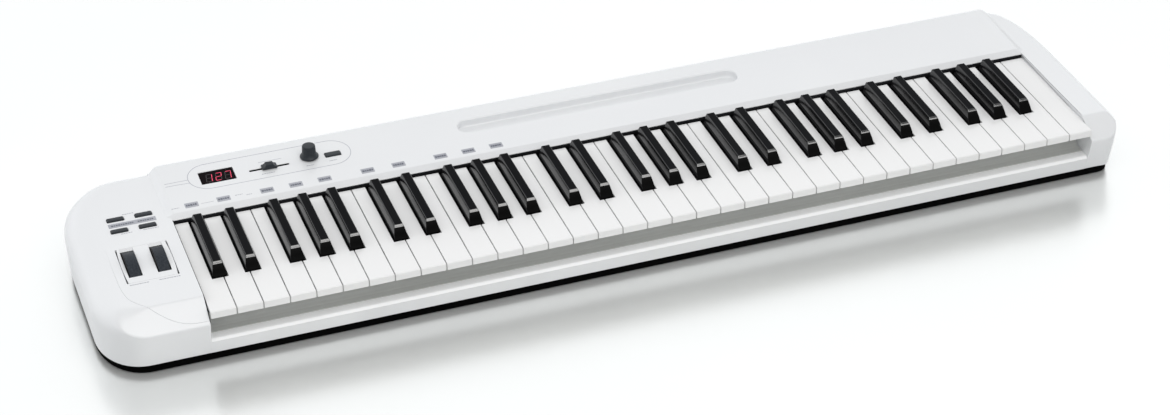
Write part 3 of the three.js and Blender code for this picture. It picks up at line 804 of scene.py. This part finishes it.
def build_deck():
    ramp, low, high = 20, -5.5, 3.5
    stations = []
    for i in range(ramp + 1):
        x = blend(low, high, i / ramp)
        stations.append((x, smooth_step(low, high, x)))
    stations += [(KEYBED - x, rise) for x, rise in reversed(stations)]
    deck = loft("deck", [[(x, y, z) for y, z in deck_section(rise)] for x, rise in stations])
    y0, y1 = GROOVE[2:]
    half = (y1 - y0) / 2
    trough = grown(GROOVE, WALL, half + WALL, 12)
    add(deck, [prism_z("trough", trough, GROOVE_FLOOR - WALL, deck_z(y0 - WALL) - 0.3)])
    tools = [
        groove_cutter(half),
        flared("display", rect_outline(DISPLAY, GAP, 0.6), deck_z, 0.4),
        flared("fader", rect_outline(FADER_OPENING, 0, FADER_WIDTH / 2 - 0.01), deck_z, 0.35),
        flared("knob", lambda g: circle(KNOB_X, KNOB_Y, SHAFT + GAP + g, 32), deck_z),
        flared("data", rect_outline(DATA_BUTTON, GAP, 0.8), deck_z),
        *socket_cutters(GAP, BACK - 6, BACK + 4),
    ]
    return cut(deck, tools)


def round_socket(name, x, radius, y0, y1):
    return prism_y(name, circle(x, SOCKET_Z, radius, 40), y0, y1)


def square_socket(name, half_x, half_z, y0, y1, corner=0.8):
    box = (USB_X - half_x, USB_X + half_x, SOCKET_Z - half_z, SOCKET_Z + half_z)
    return prism_y(name, rounded_rect(*box, corner), y0, y1)


def socket_cutters(margin, y0, y1):
    cutters = [square_socket("usb", USB_WIDTH / 2 + margin, USB_HEIGHT / 2 + margin, y0, y1)]
    for name, (x, radius) in ROUND_SOCKETS.items():
        cutters.append(round_socket(name, x, radius + margin, y0, y1))
    return cutters


def build_rail():
    """Low front rail with the hollow that clears the pressed keys."""
    section = [
        (8, CASE_BOTTOM), (4.4, -34.4), (6.4, -32.3), (8, -32.1), (14, -32.0), (21, -31.6),
        (25.5, -30.5), (28, -26), (28, -21), (28 + WALL, -21), (28 + WALL, -26.8), (27.3, -32.6),
        (21.8, -35.8), (14, -36.2), (8.2, -35), (11, CASE_BOTTOM),
    ]
    radii = [0.4, 0.8, 0.8, 1.5, 6, 6, 4, 3, 0.5, 0.5, 3, 3, 4, 5, 1, 0.4]
    return prism_x("front_rail", fillet(section, radii, 7), -1.5, KEYBED + 1.5)


def build_case():
    rail = build_rail()
    for piece in (build_cheek("left"), build_cheek("right"), build_deck(), rail):
        finish_piece(piece, PEARL, node="top_case")
    # The rail's upward faces take the whiter copy as painted light.
    paint_faces(rail, [RAIL_PAINTED_LIGHT], lambda normal: normal.z > 0.5)
    build_tray()
    build_felts_and_shade()
    build_channel_shade_strip()
    build_side_rib()


def strip(name, section, radii, x0, x1, material):
    finish_piece(prism_x(name, fillet(section, radii), x0, x1), material)


def build_felts_and_shade():
    """Dark strips behind the white keys and beside the first key, felt that also paints the shade of
    those gaps, and felt under the fader's slot.
    """
    # A dark strip under the deck's lip: felt, and painted shade of the gap behind the white keys.
    section = [(144.2, -1.4), (144.0, 1.6), (145.6, 2.2), (146.6, 0.8), (146.6, -1.4)]
    strip("key_slot_felt_shade", section, [0.3, 0.6, 0.3, 0.3, 0.3], 0.2, KEYBED - 0.2, FELT_AND_SHADE)
    # A dark strip along the left cheek's inner wall: felt, and painted shade beside the first key.
    front, bottom, top = 1.5, -12, CHEEK_TOP - 0.15
    slope = FACET_DROP / (FACET_BACK - FRONT)
    section = [
        (front, bottom), (front, top - slope * (FACET_BACK - front)), (FACET_BACK, top),
        (DECK_FRONT, top), (DECK_FRONT, bottom),
    ]
    strip("key_side_felt_shade", section, [0.3, 0.3, 2, 0.3, 0.3], -0.5, 0.0, FELT_AND_SHADE)
    top = deck_z(FADER_Y) - 0.35
    half, slit = FADER_WIDTH / 2, 0.9
    lips = [
        block("lip", *FADER_OPENING[:2], a, b, top - 2, top)
        for a, b in ((FADER_Y - half, FADER_Y - slit), (FADER_Y + slit, FADER_Y + half))
    ]
    finish_piece(joined("fader_slot_felt", lips), FELT_AND_SHADE)


def build_channel_shade_strip():
    """Grey strip behind the rail, where the pressed keys come down: painted shade over the floor and
    back wall of the channel under the keys.
    """
    section = [
        (14.6, -31.95), (14.6, -31.3), (20.8, -30.9), (24.7, -29.6), (27.2, -25.3), (27.2, -19.5),
        (27.9, -19.5), (27.9, -25.6), (25.2, -30.3), (21, -31.55),
    ]
    radii = [0.1, 0.3, 4, 4, 3, 0.2, 0.2, 3, 4, 4]
    strip("channel_shade_strip", section, radii, 0.3, KEYBED - 0.3, CHANNEL_SHADE_GREY)


def build_side_rib():
    """Rib on the right cheek that narrows the gap beside the last white key."""
    front, back, bottom, top = 2.5, DECK_FRONT - 2, -12, -0.8
    section = [(front, bottom), (front, -6), (FACET_BACK, top), (back, top), (back, bottom)]
    strip("key_side_rib", section, [0.3, 1, 2, 0.3, 0.3], KEYBED, KEYBED + 0.6, PEARL)


def tray_outline(inset, steps=24):
    x0, x1 = LEFT + 2 + inset, RIGHT - 2 - inset
    y0, y1 = FRONT + 9 + inset, BACK - 2 - inset
    corners = (
        (x0, y0, 1, 1, 42, 58, SQUARENESS), (x1, y0, -1, 1, 18, 30, RIGHT_FRONT_SQUARENESS),
        (x1, y1, -1, -1, 31, 92, SQUARENESS), (x0, y1, 1, -1, 58, 78, LEFT_REAR_SQUARENESS),
    )
    outline = []
    for corner, (x, y, sx, sy, a, b, squareness) in enumerate(corners):
        arc = []
        for i in range(steps + 1):
            s, c = quarter(i / steps, squareness)
            arc.append((x + sx * a * (1 - s), y + sy * b * (1 - c)))
        outline += arc if corner % 2 else arc[::-1]
    return outline


TRAY_INSET, TRAY_ROUNDING = 6.0, 1.5
TRAY_SCREWS = [(x, y) for x in (20, 210, 400, 590, 780) for y in (62, 176)]
VENT_LENGTH, VENT_WIDTH = 34, 2.4
VENTS = [(x, y) for x in (300, 460) for y in (104, 110, 116, 122)]
RIBS = (100, 250, 400, 550, 700)


def build_tray():
    """Dark tray underneath, with its ribs, vents and screw holes."""
    levels = [
        (TRAY_INSET + TRAY_ROUNDING * drop, PAN_BOTTOM + TRAY_ROUNDING * run)
        for run, drop in rounding(4)
    ]
    tray = stacked("bottom_tray", tray_outline, [*levels, (TRAY_INSET, RIM_TOP)])
    tools = [prism_z("hollow", tray_outline(TRAY_INSET + WALL), PAN_BOTTOM + WALL, RIM_TOP + 1)]
    for x, y in VENTS:
        outline = rounded_rect(x, x + VENT_LENGTH, y, y + VENT_WIDTH, VENT_WIDTH / 2 - 0.01)
        tools.append(prism_z("vent", outline, PAN_BOTTOM - 2, PAN_BOTTOM + 5))
    tools += [turned("screw_hole", x, y, SCREW_HOLE, 32) for x, y in TRAY_SCREWS]
    cut(tray, tools)
    floor = PAN_BOTTOM + WALL - 0.2
    ribs = [soften(block("rib", x, x + 2, 40, 200, floor, PAN_BOTTOM + 6.6), 0.3) for x in RIBS]
    for piece in (tray, tray_skirt_and_shade(), joined("tray_ribs", ribs)):
        finish_piece(piece, PAN_BLACK, node="bottom_case")
    screws = joined("tray_screws", [tray_screw(x, y) for x, y in TRAY_SCREWS])
    finish_piece(screws, STEEL)


def tray_skirt_and_shade():
    """Band of the tray that shows below the top case, all the way round; reaching nearly to the floor,
    its black also stands in for the shade in the gap under the case.
    """
    top = CASE_BOTTOM - 0.3
    profile = (
        (6.5, top), (0.2, top), (0.2, SKIRT_BOTTOM + 0.8), (0.5, SKIRT_BOTTOM + 0.2),
        (1.0, SKIRT_BOTTOM), (6.0, SKIRT_BOTTOM), (6.5, SKIRT_BOTTOM + 0.5),
    )
    return stacked("tray_skirt_and_shade", tray_outline, profile, ring=True)


# Radius and height above the tray's underside, for the round recess and for the screw in it.
SCREW_HOLE = ((4.6, -2.0), (4.6, 0.0), (4.2, 0.5), (4.2, 1.7))
SCREW_HEAD = ((2.4, 1.7), (3.2, 1.7), (3.3, 1.4), (3.0, 0.8), (2.2, 0.45), (1.0, 0.3))


def turned(name, x, y, profile, count):
    return stacked(name, lambda radius: circle(x, y, radius, count), profile, lambda _y: PAN_BOTTOM)


def tray_screw(x, y):
    """Pan head with a cross recess, facing down."""
    arms = [
        block("arm", x - a, x + a, y - b, y + b, PAN_BOTTOM - 1, PAN_BOTTOM + 1.0)
        for a, b in ((1.7, 0.35), (0.35, 1.7))
    ]
    return cut(turned("screw", x, y, SCREW_HEAD, 28), arms)


def build_feet():
    """Ribbed rubber strips that the keyboard stands on."""
    x0, x1, depth, radius = -20, 806, 12, 6
    levels = ((0.9, FLOOR), (0.3, FLOOR + 0.25), (0, FLOOR + 0.9), (0, PAN_BOTTOM - 0.3))
    for name, y in (("front_foot_strip", 30), ("rear_foot_strip", 196)):

        def outline(inset):
            return grown((x0, x1, y, y + depth), -inset, radius - inset, 10)

        foot = stacked(f"{name}_rubber", outline, levels)
        grooves = [
            block("rib_gap", x0 + 8, x1 - 8, y + dy, y + dy + 0.9, FLOOR - 1, FLOOR + 0.7)
            for dy in (2.6, 4.6, 6.5, 8.5)
        ]
        cut(foot, grooves)
        finish_piece(foot, FOOT_RUBBER, node=name)


# ---- keys


def black_centres():
    return [octave * OCTAVE + x for octave in range(OCTAVES) for x in BLACK_CENTRES]


def rod_bore(x0, x1):
    return prism_x("bore", circle(PIVOT_Y, PIVOT_Z, ROD_BORE, 24), x0, x1)


def white_key(index):
    """One white key: rounded front lip, notches for its black neighbours, and its tail."""
    x0 = index * KEY_PITCH + KEY_GAP / 2
    x1 = (index + 1) * KEY_PITCH - KEY_GAP / 2
    lip, plate = 2.4, -3.6
    section = [
        (0, -WHITE_LIP), (0, 0), (WHITE_LENGTH, 0), (WHITE_LENGTH, TAIL_TOP),
        (TAIL_END, TAIL_TOP), (TAIL_END, TAIL_BOTTOM), (24, TAIL_BOTTOM), (20, plate),
        (lip, plate), (lip, -WHITE_LIP),
    ]
    key = prism_x("key", fillet(section, [0.3, 1.5, 0, 0, 0, 0, 1, 1, 0.4, 0.3], 8), x0, x1)
    half = BLACK_BASE / 2 + BLACK_CLEAR
    spans = [
        (x - half, x + half, BLACK_FRONT - BLACK_CLEAR)
        for x in black_centres()
        if x + half > x0 and x - half < x1
    ]
    spans += [(x - TAIL_TRIM, x + TAIL_TRIM, WHITE_LENGTH + 4) for x in (x0, x1)]
    tools = [block("notch", a, b, front, TAIL_END + 5, -20, 5) for a, b, front in spans]
    cut(key, [*tools, rod_bore(x0 - 2, x1 + 2)])
    return soften(key, 0.45, 3, angle=50)


def build_white_keys():
    for index in range(WHITE_COUNT):
        node = f"white_key_{NOTES[index % WHITES_PER_OCTAVE]}{index // WHITES_PER_OCTAVE + 2}"
        key = white_key(index)
        key.name = f"{node}_cap"
        finish_moving(key, node, IVORY)


def black_key(x):
    """Tapered black key with soft edges and a chamfer above its front slope."""
    front = BLACK_FRONT + BLACK_FRONT_SLOPE - 0.2
    back = BLACK_BACK - BLACK_BACK_SLOPE
    rings = (
        (BLACK_BASE / 2, BLACK_FRONT, BLACK_BACK, -6),
        (BLACK_BASE / 2, BLACK_FRONT, BLACK_BACK, 0.5),
        (BLACK_TOP / 2 + 1.85, BLACK_FRONT + 2.9, back, 4.5),
        (BLACK_TOP / 2 + 0.65, front, back, BLACK_HEIGHT - CHAMFER_DROP),
        (BLACK_TOP / 2 - 0.2, front + CHAMFER_RUN, back, BLACK_HEIGHT),
    )
    loops = [
        [(x - half, y0, z), (x + half, y0, z), (x + half, y1, z), (x - half, y1, z)]
        for half, y0, y1, z in rings
    ]
    return soften(loft("key", loops), 0.5, 4, angle=18)


def black_key_painted_light(normal):
    """Which of a black key's materials a face takes by where it points: side, top and front with
    painted shade, chamfer with a painted highlight, upper side edge with a painted sheen.
    """
    if normal.z > 0.985:
        return 1
    if normal.y < -0.80:
        return 2
    if normal.z > 0.62 and normal.y < -0.3:
        return 3
    if normal.z > 0.18 and normal.y > -0.25 and abs(normal.x) > 0.3:
        return 4
    return 0


def black_rail(octave, centres):
    """The hidden rail and arms that carry an octave's black keys on the hinge rod."""
    arm = BLACK_BASE / 2 - 1
    front, back = TAIL_END + 2, 207
    rail = block("rail", centres[0] - arm, centres[4] + arm, front, back, TAIL_BOTTOM, TAIL_TOP)
    arms = [
        block("arm", x - arm, x + arm, BLACK_BACK - 30, front + 1, TAIL_BOTTOM, TAIL_TOP - 0.02)
        for x in centres
    ]
    add(rail, arms)
    cut(rail, [rod_bore(octave * OCTAVE, (octave + 1) * OCTAVE)])
    return soften(rail, 0.3, 2, angle=50)


def build_black_keys():
    for octave in range(OCTAVES):
        node = f"black_keys_octave_{octave + 2}"
        centres = [octave * OCTAVE + x for x in BLACK_CENTRES]
        for number, x in enumerate(centres):
            key = black_key(x)
            key.name = f"black_key_{octave + 2}_{number + 1}"
            finish_moving(key, node, EBONY)
            # Top and front get painted-shade copies of the black, chamfer and upper side edges
            # painted-highlight copies.
            paint_faces(key, [EBONY_SHADED_TOP, EBONY_SHADED_FRONT, EBONY_HIGHLIGHT_CHAMFER, EBONY_SHEEN_RIM], black_key_painted_light)
        rail = black_rail(octave, centres)
        rail.name = f"{node}_rail"
        finish_moving(rail, node, EBONY)


# ---- controls

PIN_REACH, PIN_RADIUS, HUB_RADIUS = 2.2, 3, 9


def build_wheels():
    """Both wheels: the sector that turns in its slot, with a hub and a pin through it."""
    reach, steps = 78.0, 72
    rim = []
    for i in range(steps + 1):
        angle = math.radians(90 - reach + 2 * reach * i / steps)
        y = WHEEL_Y + WHEEL_RADIUS * math.cos(angle)
        rim.append((y, WHEEL_Z + WHEEL_RADIUS * math.sin(angle)))
    section = [*rim, (WHEEL_Y - 7, WHEEL_Z - 5), (WHEEL_Y + 7, WHEEL_Z - 5)]
    hub_circle = circle(WHEEL_Y, WHEEL_Z, HUB_RADIUS, 48)
    pin_circle = circle(WHEEL_Y, WHEEL_Z, PIN_RADIUS, 32)
    for name, (x0, x1) in WHEELS.items():
        wheel = soften(prism_x("wheel", section, x0, x1), 1.0, 4, angle=45)
        hub = soften(prism_x("hub", hub_circle, x0 - 0.02, x1 + 0.02), 0.3)
        add(wheel, [hub, prism_x("pin", pin_circle, x0 - PIN_REACH, x1 + PIN_REACH)])
        wheel.name = f"{name}_tyre"
        finish_moving(wheel, name, WHEEL_RUBBER)
        paint_faces(wheel, [WHEEL_SIDE], lambda normal: abs(normal.x) > 0.8)


def height_slab(name, xs, ys, low, height):
    """Slab over a grid, with a flat underside and a top that follows height(x, y)."""
    return loft(
        name,
        [[(x, y, height(x, y)) for x in xs] + [(x, y, low) for x in reversed(xs)] for y in ys],
    )


PLATE_TOP = CHEEK_TOP - 0.1
WHEEL_SLOT = (69.4, 112.2)
DIP_FRONT, DIP_LENGTH, DIP_LOW = 111.8, 3.2, 2.0


def plate_height(x, y):
    """Level with the cheek, with a slope down to the rear of each wheel."""
    side = WHEEL_SIDE_GAP
    if y < WHEEL_Y or not any(a - side <= x <= b + side for a, b in WHEELS.values()):
        return PLATE_TOP
    return blend(DIP_LOW, PLATE_TOP, min(max((y - DIP_FRONT) / DIP_LENGTH, 0.0), 1.0))


def side_gap(x, inward):
    """Cutter that opens the gap beside the plate towards both of its ends."""
    y0, y1 = WELL[2:]
    middle, half = (y0 + y1) / 2, (y1 - y0) / 2
    turns = [i / 8 - 1 for i in range(17)]
    inner = [(x + inward * (0.15 + 1.25 * t * t), middle + t * half) for t in turns]
    outline = [(x - inward, y0 - 1), *inner, (x - inward, y1 + 1)]
    return prism_z("side_gap", outline, -3, 8)


def build_wheel_frame():
    """Plate with a slot for each wheel, and the webs that carry the wheel pins."""
    x0, x1, y0, y1 = WELL
    side = WHEEL_SIDE_GAP
    slots = [(a - side, b + side) for a, b in WHEELS.values()]
    xs = [x0]
    for a, b in slots:
        xs += [a - 0.05, a, (a + b) / 2, b, b + 0.05]
    xs.append(x1)
    ys = [blend(y0, DIP_FRONT, i / 12) for i in range(13)] + [DIP_FRONT + DIP_LENGTH, y1]
    plate = height_slab("wheel_well_plate", xs, ys, -1.5, plate_height)
    (p0, p1), (m0, m1) = slots
    web = 3
    webs = [
        block("web", a, b, WHEEL_Y - HUB_RADIUS, WHEEL_Y + HUB_RADIUS, -34, 0)
        for a, b in ((x0, p0), (p1, p1 + web), (m0 - web, m0), (m1, x1))
    ]
    add(plate, webs)
    tools = [side_gap(x0, 1), side_gap(x1, -1)]
    clear = circle(WHEEL_Y, WHEEL_Z, WHEEL_RADIUS + side, 96)
    pin = circle(WHEEL_Y, WHEEL_Z, PIN_RADIUS + GAP, 32)
    pin_reach = PIN_REACH + GAP - side
    for a, b in slots:
        opening = rect_outline((a, b, *WHEEL_SLOT), 0, 0.5)
        tools.append(flared("slot", opening, lambda _y: PLATE_TOP, 0.3, -10, 10))
        tools.append(prism_x("clear", clear, a, b))
        tools.append(prism_x("pin_hole", pin, a - pin_reach, b + pin_reach))
    cut(plate, tools)
    finish_piece(plate, PEARL, node="wheel_frame")


FLANGE, FLANGE_THICKNESS = (1.4, 1.0), 1.6
CROWN, CROWN_INSET = 0.12, (-2.2, -1.7)


def keycap(name, rect, top, under, round_over=0.8):
    """A push button: flange below the case, straight body and a softly crowned top."""
    flange_top = under - GAP

    def ring(grow_x, grow_y, corner, z):
        x0, x1, y0, y1 = rect
        outline = rounded_rect(x0 - grow_x, x1 + grow_x, y0 - grow_y, y1 + grow_y, corner)
        return at_height(outline, z)

    loops = [
        ring(*FLANGE, 0.8, flange_top - FLANGE_THICKNESS),
        ring(*FLANGE, 0.8, flange_top),
        ring(0, 0, 0.7, flange_top),
        ring(0, 0, 0.7, top - round_over),
    ]
    for run, drop in rounding(5, 1):
        inset = round_over * run * 0.9
        loops.append(ring(-inset, -inset, 0.75, top - CROWN - round_over * drop * 0.85))
    return loft(name, [*loops, ring(*CROWN_INSET, 0.5, top)])


def build_buttons():
    for name, rect in CHEEK_BUTTONS.items():
        cap = keycap(f"{name}_cap", rect, CHEEK_TOP + 1.2, CHEEK_TOP - WALL)
        finish_moving(cap, name, DARK_PLASTIC)
    cap = keycap("data_button_cap", DATA_BUTTON, deck_z(196) + 0.8, deck_z(192) - WALL)
    finish_moving(cap, "data_button", DARK_PLASTIC)


def build_fader():
    """Fader cap: a low shoe with a raised, scooped grip."""
    base = deck_z(FADER_Y) + 0.5
    # Half width, half depth, height and corner of each level.
    levels = (
        (6.9, 3.9, 0.0, 0.6), (7.1, 4.1, 0.3, 0.9), (7.1, 4.1, 1.0, 0.9), (6.8, 3.9, 1.4, 0.9),
        (4.9, 3.6, 2.0, 0.9), (3.9, 3.4, 3.3, 0.9), (3.6, 3.2, 3.9, 0.9), (3.1, 2.8, 4.1, 0.9),
    )
    rings = [
        at_height(rounded_rect(FADER_X - a, FADER_X + a, FADER_Y - b, FADER_Y + b, corner), base + z)
        for a, b, z, corner in levels
    ]
    scoop_height, scoop_radius, scoop_reach = base + 4.6, 0.75, 9
    scoops = [
        prism_x(
            "scoop", circle(FADER_Y + dy, scoop_height, scoop_radius, 20),
            FADER_X - scoop_reach, FADER_X + scoop_reach,
        )
        for dy in (-1.8, 0, 1.8)
    ]
    cap = cut(loft("fader_grip", rings), scoops)
    stem = block("stem", FADER_X - 2, FADER_X + 2, FADER_Y - 0.7, FADER_Y + 0.7, 4.2, base + 1)
    add(cap, [stem])
    finish_moving(cap, "fader_cap", DARK_PLASTIC)


def build_knob():
    """Endless encoder knob: flared skirt, fluted barrel and a softly rounded top."""
    base = deck_z(KNOB_Y) + 0.6
    profile = fillet(
        [(0.8, 0), (8.6, 0), (8.8, 1), (7.3, 2.9), (6.5, 4.4), (6.1, 12.2), (0.8, 12.4)],
        [0, 0.4, 0.5, 1.2, 0.8, 1.3, 0],
        6,
    )
    count, flutes, flute_depth = 144, 24, 0.28
    loops = []
    for radius, z in profile:
        depth = flute_depth * smooth_step(4.2, 5.6, z) * smooth_step(11.9, 11.0, z)
        loop = []
        for i in range(count):
            angle = 2 * math.pi * i / count
            r = radius - depth * (0.5 - 0.5 * math.cos(flutes * angle)) ** 2
            loop.append((KNOB_X + r * math.cos(angle), KNOB_Y + r * math.sin(angle), base + z))
        loops.append(loop)
    knob = loft("encoder_knob", loops)
    cut(knob, [prism_z("bore", circle(KNOB_X, KNOB_Y, SHAFT + GAP, 32), base - 1, 14 + GAP)])
    finish_moving(knob, "data_knob", DARK_PLASTIC)


# Segments of a seven segment digit that is 1 wide and 2 high, and which of them each numeral lights.
SEGMENTS = {
    "a": ((0, 2), (1, 2)), "b": ((1, 2), (1, 1)), "c": ((1, 1), (1, 0)), "d": ((0, 0), (1, 0)),
    "e": ((0, 1), (0, 0)), "f": ((0, 2), (0, 1)), "g": ((0, 1), (1, 1)),
}
NUMERALS = {"1": "bc", "2": "abged", "7": "abc"}
DIGIT_WIDTH, DIGIT_HALF_HEIGHT, DIGIT_SLANT, DIGIT_STEP = 5.2, 5.6, 0.14, 8.8
DIGIT_MARGIN = (4.6, 2.0)
SEGMENT_HALF, SEGMENT_INSET = 0.3, 0.25


def segment(start, end, place):
    """A flat bar with pointed ends, on the display's face."""
    ends = [
        Vector((u * DIGIT_WIDTH + v * DIGIT_HALF_HEIGHT * DIGIT_SLANT, v * DIGIT_HALF_HEIGHT))
        for u, v in (start, end)
    ]
    along = (ends[1] - ends[0]).normalized()
    tip = along * SEGMENT_HALF
    across = Vector((-along.y, along.x)) * SEGMENT_HALF
    a, b = ends[0] + along * SEGMENT_INSET, ends[1] - along * SEGMENT_INSET
    ring = [a, a + tip + across, b - tip + across, b, b - tip - across, a + tip - across]
    outline = [(place[0] + p.x, place[1] + p.y) for p in ring]
    return film("segment", outline, deck_z, 0.1, 0.05)


def build_display():
    x0, y0 = DISPLAY[0], DISPLAY[2]
    loops = [at_height(grown(DISPLAY, 0, 0.5), 6.2)]
    for inset, drop in ((0, 0.35), (0.1, 0.12), (0.35, 0.0)):
        loops.append(on_surface(grown(DISPLAY, -inset, 0.5), deck_z, -drop))
    window = loft("display_window_glass", loops)
    finish_piece(window, SMOKED, node="display_window")
    lit, unlit = [], []
    for number, numeral in enumerate("127"):
        place = (x0 + DIGIT_MARGIN[0] + DIGIT_STEP * number, y0 + DIGIT_MARGIN[1])
        for name, (start, end) in SEGMENTS.items():
            (lit if name in NUMERALS[numeral] else unlit).append(segment(start, end, place))
    finish_piece(joined("display_segments_lit", lit), LIT)
    finish_piece(joined("display_segments_unlit", unlit), UNLIT)


# ---- printing

LINE_WIDTH = 0.35
PILL, PILL_RADIUS = (26, 179, 178, 217), 19.4
PANEL_LINES = (
    [(4, 197.5), (25.6, 197.5)],
    [(4, 193.0), (14, 193.0), (26.6, 192.4)],
    [(93, 203.4), (115, 203.4)],
)
LABELLED_KEYS = 10
LABEL_HALF, LABEL_FRONT, LABEL_BACK = 6.2, 155.2, 162.6
STROKE, STROKE_SPREAD, STROKE_GAP, STROKE_LEAST = 1.2, 0.8, 0.5, 0.5
# Rows of small print: both ends, the line they stand on, their height and the first stroke.
LEFT_PRINT = ((2, 9, 157.6, 0.8, 1),)
PANEL_PRINT = (
    (61, 68, 160, 0.8, 2), (71, 76, 157.6, 0.8, 3), (92, 104, 184, 0.9, 4),
    (134, 141, 183.5, 0.9, 5), (156, 163, 184.5, 0.9, 6),
)
STRIP_PRINT = ((-54, -34, 152.6, 2.0, 2), (-30, -16, 152.6, 2.0, 1))
CHEEK_PRINT = (
    (-41, -31, 168.6, 0.9, 1), (-48, -38, 138.2, 0.9, 2), (-28, -14, 138.2, 0.9, 3),
    (-57, -40, 57.0, 1.0, 4), (-31, -12, 57.0, 1.0, 5),
)


def printed_line(points):
    """A printed stroke along a path on the deck."""
    left, right = [], []
    path = [Vector(p) for p in points]
    for i, here in enumerate(path):
        ahead = path[min(i + 1, len(path) - 1)] - path[max(i - 1, 0)]
        across = Vector((-ahead.y, ahead.x)).normalized() * LINE_WIDTH / 2
        left.append(tuple(here + across))
        right.append(tuple(here - across))
    return film("ink", left + right[::-1], deck_z)


def printed_ring():
    """The line round the panel of controls."""
    corners = ((0.2, PRINT_LIFT), (-0.2, PRINT_LIFT), (-0.2, -PRINT_DEPTH), (0.2, -PRINT_DEPTH))
    return stacked("pill", lambda m: grown(PILL, m, PILL_RADIUS + m, 20), corners, deck_z, ring=True)


def small_print(rows, surface):
    """Rows of short strokes that stand for small print."""
    marks = []
    for x, x1, y, height, step in rows:
        while x < x1:
            length = STROKE + STROKE_SPREAD * ((step * 7) % 3) / 2
            end = min(x + length, x1)
            if end - x > STROKE_LEAST:
                corners = [(x, y), (end, y), (end, y + height), (x, y + height)]
                marks.append(film("ink", corners, surface))
            x += length + STROKE_GAP
            step += 1
    return marks


def build_printing():
    lines = [printed_ring(), *[printed_line(points) for points in PANEL_LINES]]
    finish_piece(joined("panel_outlines", lines), INK)

    places = black_centres()[:LABELLED_KEYS]
    label = (-LABEL_HALF, LABEL_HALF, LABEL_FRONT, LABEL_BACK)
    outlines = [[(x + u, y) for u, y in rounded_rect(*label, 0.5, 3)] for x in places]
    labels = [film("ink", outline, deck_z) for outline in outlines]
    finish_piece(joined("function_labels", labels), INK_PALE)
    rows = [(x - 5.0, x + 5.0, 157.6, 2.6, number) for number, x in enumerate(places)]
    marks = small_print(rows, lambda y: deck_z(y) + 0.02)
    finish_piece(joined("function_label_marks", marks), INK_DARK)

    small = small_print(LEFT_PRINT, deck_z)
    small.append(printed_line([(29, 158), (41, 158)]))
    small += small_print(PANEL_PRINT, deck_z)
    finish_piece(joined("panel_small_print", small), INK_PALE)

    corners = [(-56.5, 150.4), (-13.5, 150.4), (-13.5, 157.0), (-56.5, 157.0)]
    band = film("button_strip", corners, cheek_surface)
    marks = small_print(STRIP_PRINT, lambda _y: CHEEK_TOP + 0.02)
    finish_piece(band, INK_PALE)
    finish_piece(joined("button_strip_marks", marks), INK_DARK)
    captions = small_print(CHEEK_PRINT, cheek_surface)
    finish_piece(joined("cheek_small_print", captions), INK_PALE)


# ---- inside and back


def refined(node, name, material, width):
    """A copy of a CAD node with its flat faces merged and its edges rounded."""
    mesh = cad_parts[node].data.copy()
    mesh.transform(TO_FRAME.inverted())
    work = bmesh.new()
    work.from_mesh(mesh)
    bmesh.ops.remove_doubles(work, verts=work.verts, dist=0.01)
    bmesh.ops.dissolve_limit(
        work, angle_limit=math.radians(1), verts=work.verts, edges=work.edges
    )
    work.to_mesh(mesh)
    work.free()
    piece = soften(linked(name, mesh), width, 2, angle=50)
    finish_piece(piece, material, node)


def build_inside():
    refined("key_chassis", "key_chassis_sheet", STEEL, 0.3)
    refined("hinge_rod", "hinge_rod_bar", STEEL, 0.2)
    refined("contact_board", "contact_board_sheet", BOARD, 0.3)
    refined("control_board", "control_board_sheet", BOARD, 0.25)


LINER_FRONT, LINER_WALL = 214.5, 0.6
PIN_HOLE_RADIUS, PIN_HOLE_RING, PIN_RING_LIFT = 0.7, 3.9, 1.4
MIDI_WALL, PEDAL_BORE, BORE_FRONT = 0.9, 3.3, 219.5


def midi_pin_holes(x):
    """Five holes on the lower half of a ring."""
    holes = []
    for degrees in (-180, -135, -90, -45, 0):
        angle = math.radians(degrees)
        u = x + PIN_HOLE_RING * math.cos(angle)
        v = SOCKET_Z + PIN_HOLE_RING * math.sin(angle) + PIN_RING_LIFT
        holes.append(prism_y("hole", circle(u, v, PIN_HOLE_RADIUS, 16), 216, 221))
    return holes


def build_sockets():
    """Liners of the sockets in the back wall, with what shows inside them."""
    half_x, half_z = USB_WIDTH / 2, USB_HEIGHT / 2
    shell = square_socket("usb_shell", half_x, half_z, LINER_FRONT, BACK - 0.6)
    half_x, half_z = half_x - LINER_WALL, half_z - LINER_WALL
    cut(shell, [square_socket("bore", half_x, half_z, LINER_FRONT + 1, BACK + 2, 0.6)])
    finish_piece(soften(shell, 0.15, 2, 50), STEEL)
    tongue = soften(block("usb_tongue", USB_X - 2.9, USB_X + 2.9, 215, 226, -13, -9), 0.4)
    finish_piece(tongue, PAN_BLACK)
    for name, (x, radius) in ROUND_SOCKETS.items():
        midi = name == "midi"
        liner = round_socket(f"{name}_liner", x, radius - 0.1, LINER_FRONT, BACK - 0.5)
        bore = radius - MIDI_WALL if midi else PEDAL_BORE
        tools = [round_socket("bore", x, bore, BORE_FRONT, BACK + 2)]
        cut(liner, tools + midi_pin_holes(x) if midi else tools)
        finish_piece(soften(liner, 0.2, 2, 50), PAN_BLACK if midi else STEEL)


# ---- everything

add_camera()
add_light()
add_floor()
build_case()
build_feet()
build_white_keys()
build_black_keys()
build_wheels()
build_wheel_frame()
build_buttons()
build_fader()
build_knob()
build_display()
build_printing()
build_inside()
build_sockets()
